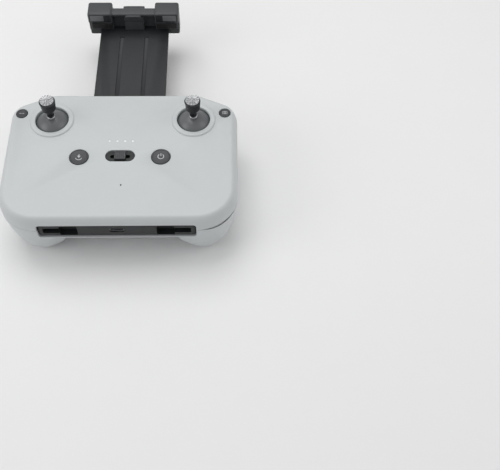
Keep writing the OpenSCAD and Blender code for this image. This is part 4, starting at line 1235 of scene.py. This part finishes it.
@dataclass
class Clamp(Maker):
    """The phone clamp: the slot in the top edge, the sliding plate and the bar with its aerials."""
    corner: float = 1.6
    panel_w: float = 9.8

    def slot(self) -> None:
        """Make the dark frame of the slot and its ribbed rubber."""
        bench = self.bench
        low, high = self.datum.span("slot_bezel")
        plate_low, plate_high = self.datum.span("slide_plate")
        plate_top = self.datum.span("clamp_cover")[1][2]
        inner = Covers.half_l - 1.3
        body = bench.block("slot_frame", low, (high[0], inner, high[2]), 0.4)
        floor = bench.block("slot_floor", (low[0], low[1] + 2, low[2]),
                            (high[0], high[1], self.floor_top()), 0.6)
        bench.fuse(body, [floor])
        wide = plate_high[0] + 0.1
        bench.cut(body, bench.block("way", (-wide, 0, plate_low[2] - 0.1),
                                    (wide, 90, plate_top + 0.12)))
        rails = self.datum.span("guide_rails")[1][0] + 0.1
        bench.cut(body, bench.block("rail_room", (-rails, 0, -26),
                                    (rails, inner - 1.8, plate_top + 2)))
        bench.cut(body, bench.block("spring_room", (-20, 0, -26), (20, inner - 1.8, -4)))
        self.finish(bench.soften(body, 40), TRIM, "housing", "slot_bezel")
        low, high = self.datum.span("slot_rubber")
        rubber = bench.block("slot_cushion", low, high, 0.35)
        ribs = [bench.block("rib_gap", (x - 0.45, high[1] - 0.55, low[2] - 1),
                            (x + 0.45, high[1] + 1, high[2] + 1), 0.15, 2)
                for x in range(-24, 25, 6)]
        bench.cut(rubber, *ribs)
        self.finish(bench.soften(rubber, 40), SOFT, "housing", "slot_rubber")

    def floor_top(self) -> float:
        """Return the height of the slot's floor, just under the phone."""
        return self.datum.span("slot_rubber")[1][2] + 0.4

    def plate(self) -> None:
        """Make the sliding plate with its two long grooves."""
        bench = self.bench
        low, high = self.datum.span("slide_plate")
        top = self.datum.span("clamp_cover")[1][2]
        plate = bench.block("sliding_plate", low, (high[0], high[1], top), 0.5)
        tape_z = self.datum.span("spring_tapes")[0][2]
        lugs = []
        for sign in SIDES.values():
            edge = across(10, 18, sign)
            lugs.append(bench.block("lug", (edge[0], low[1], top - 0.2),
                                    (edge[1], low[1] + 4, tape_z - 0.02)))
        bench.fuse(plate, lugs)
        grooves = []
        for x in (-9, 9):
            grooves.append(bench.block("groove", (x - 1.5, Covers.half_l + 7.5, top - 0.8),
                                       (x + 1.5, high[1] - 13.5, top + 1), 0.35, 2))
        for x, y in self.screw_places():
            if abs(x) < high[0]:
                grooves.append(bench.turned("screw_way", (x, y, 0), [(0.87, -30), (0.87, -10)],
                                            steps=24))
        bench.cut(plate, *grooves)
        self.finish(bench.soften(plate, 40), CLAMP_DARK, "holder", "slide_plate")

    def screw_places(self) -> list[tuple[float, float]]:
        """Return the bar screws' axes on both sides, from their solids' box and the bar's."""
        low, high = self.datum.span("bar_screws")
        x_out, y_out = high[0] - 1.5, high[1] - 1.5
        x_in, y_in = self.block_in() + 2.5, low[1] + 1.5
        return [(sign * x, y) for sign in SIDES.values() for x, y in ((x_in, y_in), (x_out, y_out))]

    def block_in(self) -> float:
        """Return how far from the middle the bar's two blocks begin."""
        return self.datum.span("clamp_cover")[1][0] - 17.5

    def bar(self) -> None:
        """Make the bar's upper half: two blocks, the lower middle, its ledge and the pull tab."""
        bench = self.bench
        low, high = self.datum.span("clamp_bar")
        half, back, top, seat = high[0], high[1], high[2], low[2]
        inner = self.block_in()
        front = self.datum.span("clamp_cover")[0][1]
        lip_y = low[1]
        lip_z = self.datum.span("clamp_lips")[1][2] + 0.02
        parts = []
        for sign in SIDES.values():
            xs = across(inner, half, sign)
            tower = bench.block("tower", (xs[0], lip_y, seat - 2), (xs[1], back, top),
                                self.corner, 5)
            bench.cut(tower, bench.block("under_lip", (xs[0] - 5, lip_y - 5, seat - 9),
                                         (xs[1] + 5, front, lip_z), 0.5, 3))
            parts.append(tower)
        spine = bench.block("spine", (-inner - 1.8, front + 3, seat - 1),
                            (inner + 1.8, back - 5, top - 1.3), 0.9, 4)
        brow = bench.block("brow", (-inner - 1.8, lip_y + 1.5, top - 3.6),
                           (inner + 1.8, front + 5, top - 1.3), 0.8, 4)
        ledge = bench.block("ledge", (-7, front - 0.6, seat - 0.9), (7, front + 5, top - 5), 0.5, 3)
        step = bench.block("step", (-5.6, lip_y + 0.4, top - 4.4), (5.6, front + 5, top - 2.2),
                           0.5, 3)
        tab = bench.block("tab", (-7.8, back - 7, top - 6), (7.8, back - 0.6, top - 3.4), 0.7, 4)
        rib = bench.block("rib", (-6, back - 1.6, top - 3.8), (6, back - 1.0, top - 3.2), 0.2, 2)
        bar = parts[0]
        bench.fuse(bar, parts[1:] + [spine, brow, ledge, step, tab, rib])
        bench.cut(bar, bench.block("floor", (-60, front - 30, seat - 10), (60, back + 5, seat)))
        rooms = [bench.block("slot", (-7.5, front - 4, top - 9.4), (7.5, front + 0.4, top - 7.4),
                             0.3, 2)]
        for sign in SIDES.values():
            xs = across(inner + 5, half - 1.4, sign)
            rooms.append(bench.block("aerial_room", (xs[0], front + 1.6, seat - 3),
                                     (xs[1], back - 5, top - 1.4)))
        for x, y in self.screw_places():
            rooms.append(bench.turned("screw_way", (x, y, 0), [(0.81, seat - 2), (0.81, seat + 5)],
                                      steps=24))
        bench.cut(bar, *rooms)
        bar.name = "bar_upper"
        self.finish(bench.soften(bar, 35), CLAMP, "holder", "clamp_bar")

    def cover(self) -> None:
        """Make the bar's lower half, which holds the plate's end."""
        bench = self.bench
        low, high = self.datum.span("clamp_cover")
        plate_low, plate_high = self.datum.span("slide_plate")
        cover = bench.block("bar_lower", low, (high[0], high[1], high[2] + 2), 1.3, 4)
        bench.cut(cover, bench.block("parting", (-60, low[1] - 5, high[2]),
                                     (60, high[1] + 5, high[2] + 5)))
        wide = plate_high[0] + 0.1
        bench.cut(cover, bench.block("plate_room", (-wide, low[1] - 3, plate_low[2] - 0.1),
                                     (wide, plate_high[1] + 0.1, high[2] + 3)))
        rooms = []
        for x, y in self.screw_places():
            rooms.append(bench.turned("screw_room", (x, y, low[2]), [
                (1.9, -2), (1.9, 0.01), (1.7, 0.2), (1.7, 1.2), (0.86, 1.21), (0.86, 9)],
                steps=28))
        bench.cut(cover, *rooms)
        self.finish(bench.soften(cover, 40), CLAMP_DARK, "holder", "clamp_cover")

    def panels(self) -> None:
        """Make the panels on the blocks' fronts, near-black sheets over those fronts as painted
        shade, and the soft pads that touch the phone.
        """
        bench = self.bench
        low, high = self.datum.span("clamp_pads")
        wide = self.panel_w
        bar_low, bar_high = self.datum.span("clamp_bar")
        panels, painted_shade_sheets = [], []
        for sign in SIDES.values():
            # Near-black sheets over the blocks' fronts, darker than the blocks: painted shade for
            # the shade that falls on these faces.
            xs = across(self.block_in() + 0.9, bar_high[0] - 0.9, sign)
            painted_shade_sheets.append(bench.block("painted_shade_front", (xs[0], low[1] + 0.22, low[2] - 0.9),
                                       (xs[1], high[1] + 0.8, bar_high[2] - 0.6), 0.15, 2))
            xs = across(high[0] - wide, high[0], sign)
            panels.append(bench.block("panel", (xs[0], low[1], low[2]),
                                      (xs[1], high[1] + 1.5, high[2]), 0.35, 3))
        pair = bench.join(panels[0], panels[1:])
        pair.name = "bar_panels"
        self.finish(pair, PAD, "holder", "clamp_pads")
        # Join the painted shade sheets and give them the near-black clamp finish.
        front = bench.join(painted_shade_sheets[0], painted_shade_sheets[1:])
        front.name = "bar_painted_shade_fronts"
        self.finish(front, CLAMP_DARK, "holder")
        low, high = self.datum.span("clamp_lips")
        _, cover_top = self.datum.span("clamp_cover")
        inner, front = self.block_in(), self.datum.span("clamp_cover")[0][1]
        lip_z = high[2] + 0.02
        pads = []
        for sign in SIDES.values():
            xs = across(inner + 1, high[0], sign)
            pads.append(bench.block("face_pad", (xs[0], front - 0.9, cover_top[2] + 1.2),
                                    (xs[1], front - 0.02, lip_z - 1), 0.3, 3))
            centre = ((inner + high[0] + 2) / 2 - 1) * sign
            y = bar_low[1] + 0.6
            pads.append(bench.pill("lip_pad", (centre, y), 7.4, 1.6, lip_z - 0.7, lip_z - 0.02))
        soft = bench.join(pads[0], pads[1:])
        soft.name = "bar_cushions"
        self.finish(soft, SOFT, "holder", "clamp_lips")

    def screws(self) -> None:
        """Make the bar's four small screws."""
        bench = self.bench
        low, high = self.datum.span("bar_screws")
        made = []
        for x, y in self.screw_places():
            screw = bench.turned("bar_screw", (x, y, low[2]), [
                (1.1, 0), (1.4, 0.1), (1.5, 0.3), (1.5, 0.9), (0.8, 0.91),
                (0.8, high[2] - low[2] - 0.3), (0.5, high[2] - low[2])], steps=28)
            socket = bench.turned("hex", (x, y, low[2]), [(0.7, -1), (0.7, 0.5)], steps=6)
            made.append(bench.cut(screw, socket))
        screws = bench.join(made[0], made[1:])
        screws.name = "bar_screws_turned"
        self.finish(bench.soften(screws), SCREW, "holder", "bar_screws")

    def make(self) -> None:
        """Make the whole clamp."""
        self.slot()
        self.plate()
        self.bar()
        self.cover()
        self.panels()
        self.screws()


@dataclass
class Inside(Maker):
    """Finishes of the inner parts, whose CAD shapes stay."""

    def make(self) -> None:
        """Give every inner part that stays its finish."""
        plan = {
            BOARD: ("main_board", "side_boards", "port_board", "antenna_boards"),
            SHIELD: ("board_shields", "usb_socket", "cell_contacts"),
            INNER: ("board_switches", "shoulder_switch", "buzzer", "left_frame", "right_frame",
                    "left_base", "right_base", "left_sensors", "right_sensors", "drum_brackets"),
            CELL: ("cell_left", "cell_right"),
            STEEL: ("guide_rails", "spring_drums", "spring_tapes", "left_springs",
                    "right_springs"),
            ACETAL: ("left_yoke", "right_yoke"),
        }
        for finish, nodes in plan.items():
            for node in nodes:
                self.finisher.refinish(node, finish)
                log.info("%s keeps its CAD shape in %s", node, finish.name)


# ---------------------------------------------------------------- studio

@dataclass(frozen=True)
class Studio:
    """Camera, floor and soft light."""
    lens: float = 59.35
    place: Point = (0.0718, -0.37275, 0.4632)
    yaw: float = 2.19
    tilt: float = 32.45
    roll: float = -1.48
    floor_size: float = 3.0

    def camera(self) -> None:
        """Place the camera above the near edge, looking down over the sticks."""
        data = bpy.data.cameras.new("camera")
        data.lens, data.sensor_width = self.lens, 36.0
        data.clip_start, data.clip_end = 0.02, 20.0
        data.dof.use_dof = False
        camera = bpy.data.objects.new("camera", data)
        bpy.context.scene.collection.objects.link(camera)
        turn = (Matrix.Rotation(math.radians(-self.yaw), 4, "Z")
                @ Matrix.Rotation(math.radians(self.tilt), 4, "X")
                @ Matrix.Rotation(math.radians(-self.roll), 4, "Z"))
        camera.matrix_world = Matrix.Translation(self.place) @ turn
        bpy.context.scene.camera = camera

    def floor(self, finisher: Finisher) -> None:
        """Lay a plain pale floor."""
        bpy.ops.mesh.primitive_plane_add(size=self.floor_size, location=(0, 0, -0.0002))
        ground = bpy.context.object
        bpy.ops.object.transform_apply(location=True)
        ground.name = "floor"
        paper = Finish("floor_paper", "shell", (0.9, 0.9, 0.9), 0.9, Grain.SATIN, relief=0.02,
                       mottle=0.005, specular=0.1)
        ground.data.materials.append(finisher.material(paper))

    def lamp(self, name: str, place: Point, size: float, power: float) -> None:
        """Hang one square soft light that points at the object.

        Args:
            name: the light's name.
            place: its place in metres.
            size: its width.
            power: its power in watts.
        """
        data = bpy.data.lights.new(name, "AREA")
        data.shape, data.size, data.energy = "SQUARE", size, power
        lamp = bpy.data.objects.new(name, data)
        aim = (Vector((0, 0, 0.03)) - Vector(place)).to_track_quat("-Z", "Y")
        lamp.matrix_world = Matrix.Translation(place) @ aim.to_matrix().to_4x4()
        bpy.context.scene.collection.objects.link(lamp)

    def light(self) -> None:
        """Set a bright even surround and three soft lights."""
        world = bpy.data.worlds.new("surround")
        world.use_nodes = True
        world.node_tree.nodes["Background"].inputs["Color"].default_value = (1, 1, 1, 1)
        world.node_tree.nodes["Background"].inputs["Strength"].default_value = 0.42
        bpy.context.scene.world = world
        self.lamp("overhead", (-0.1, 0.25, 0.95), 0.7, 4.2)
        self.lamp("left", (-0.8, -0.3, 0.6), 0.6, 2.0)
        self.lamp("right", (0.8, -0.1, 0.6), 0.6, 1.2)
        bpy.context.scene.view_settings.view_transform = "Standard"

    def make(self, finisher: Finisher) -> None:
        """Set up camera, floor and light."""
        self.camera()
        self.floor(finisher)
        self.light()


def main() -> None:
    """Build every sub-assembly in order."""
    logging.basicConfig(level=logging.INFO, format="%(name)s %(message)s")
    datum = Datum()
    bench, finisher = Bench(datum), Finisher()
    Studio().make(finisher)
    for kind in (Covers, Keys, Sticks, Clamp, Inside):
        kind(datum, bench, finisher).make()


if __name__ == "__main__":
    main()
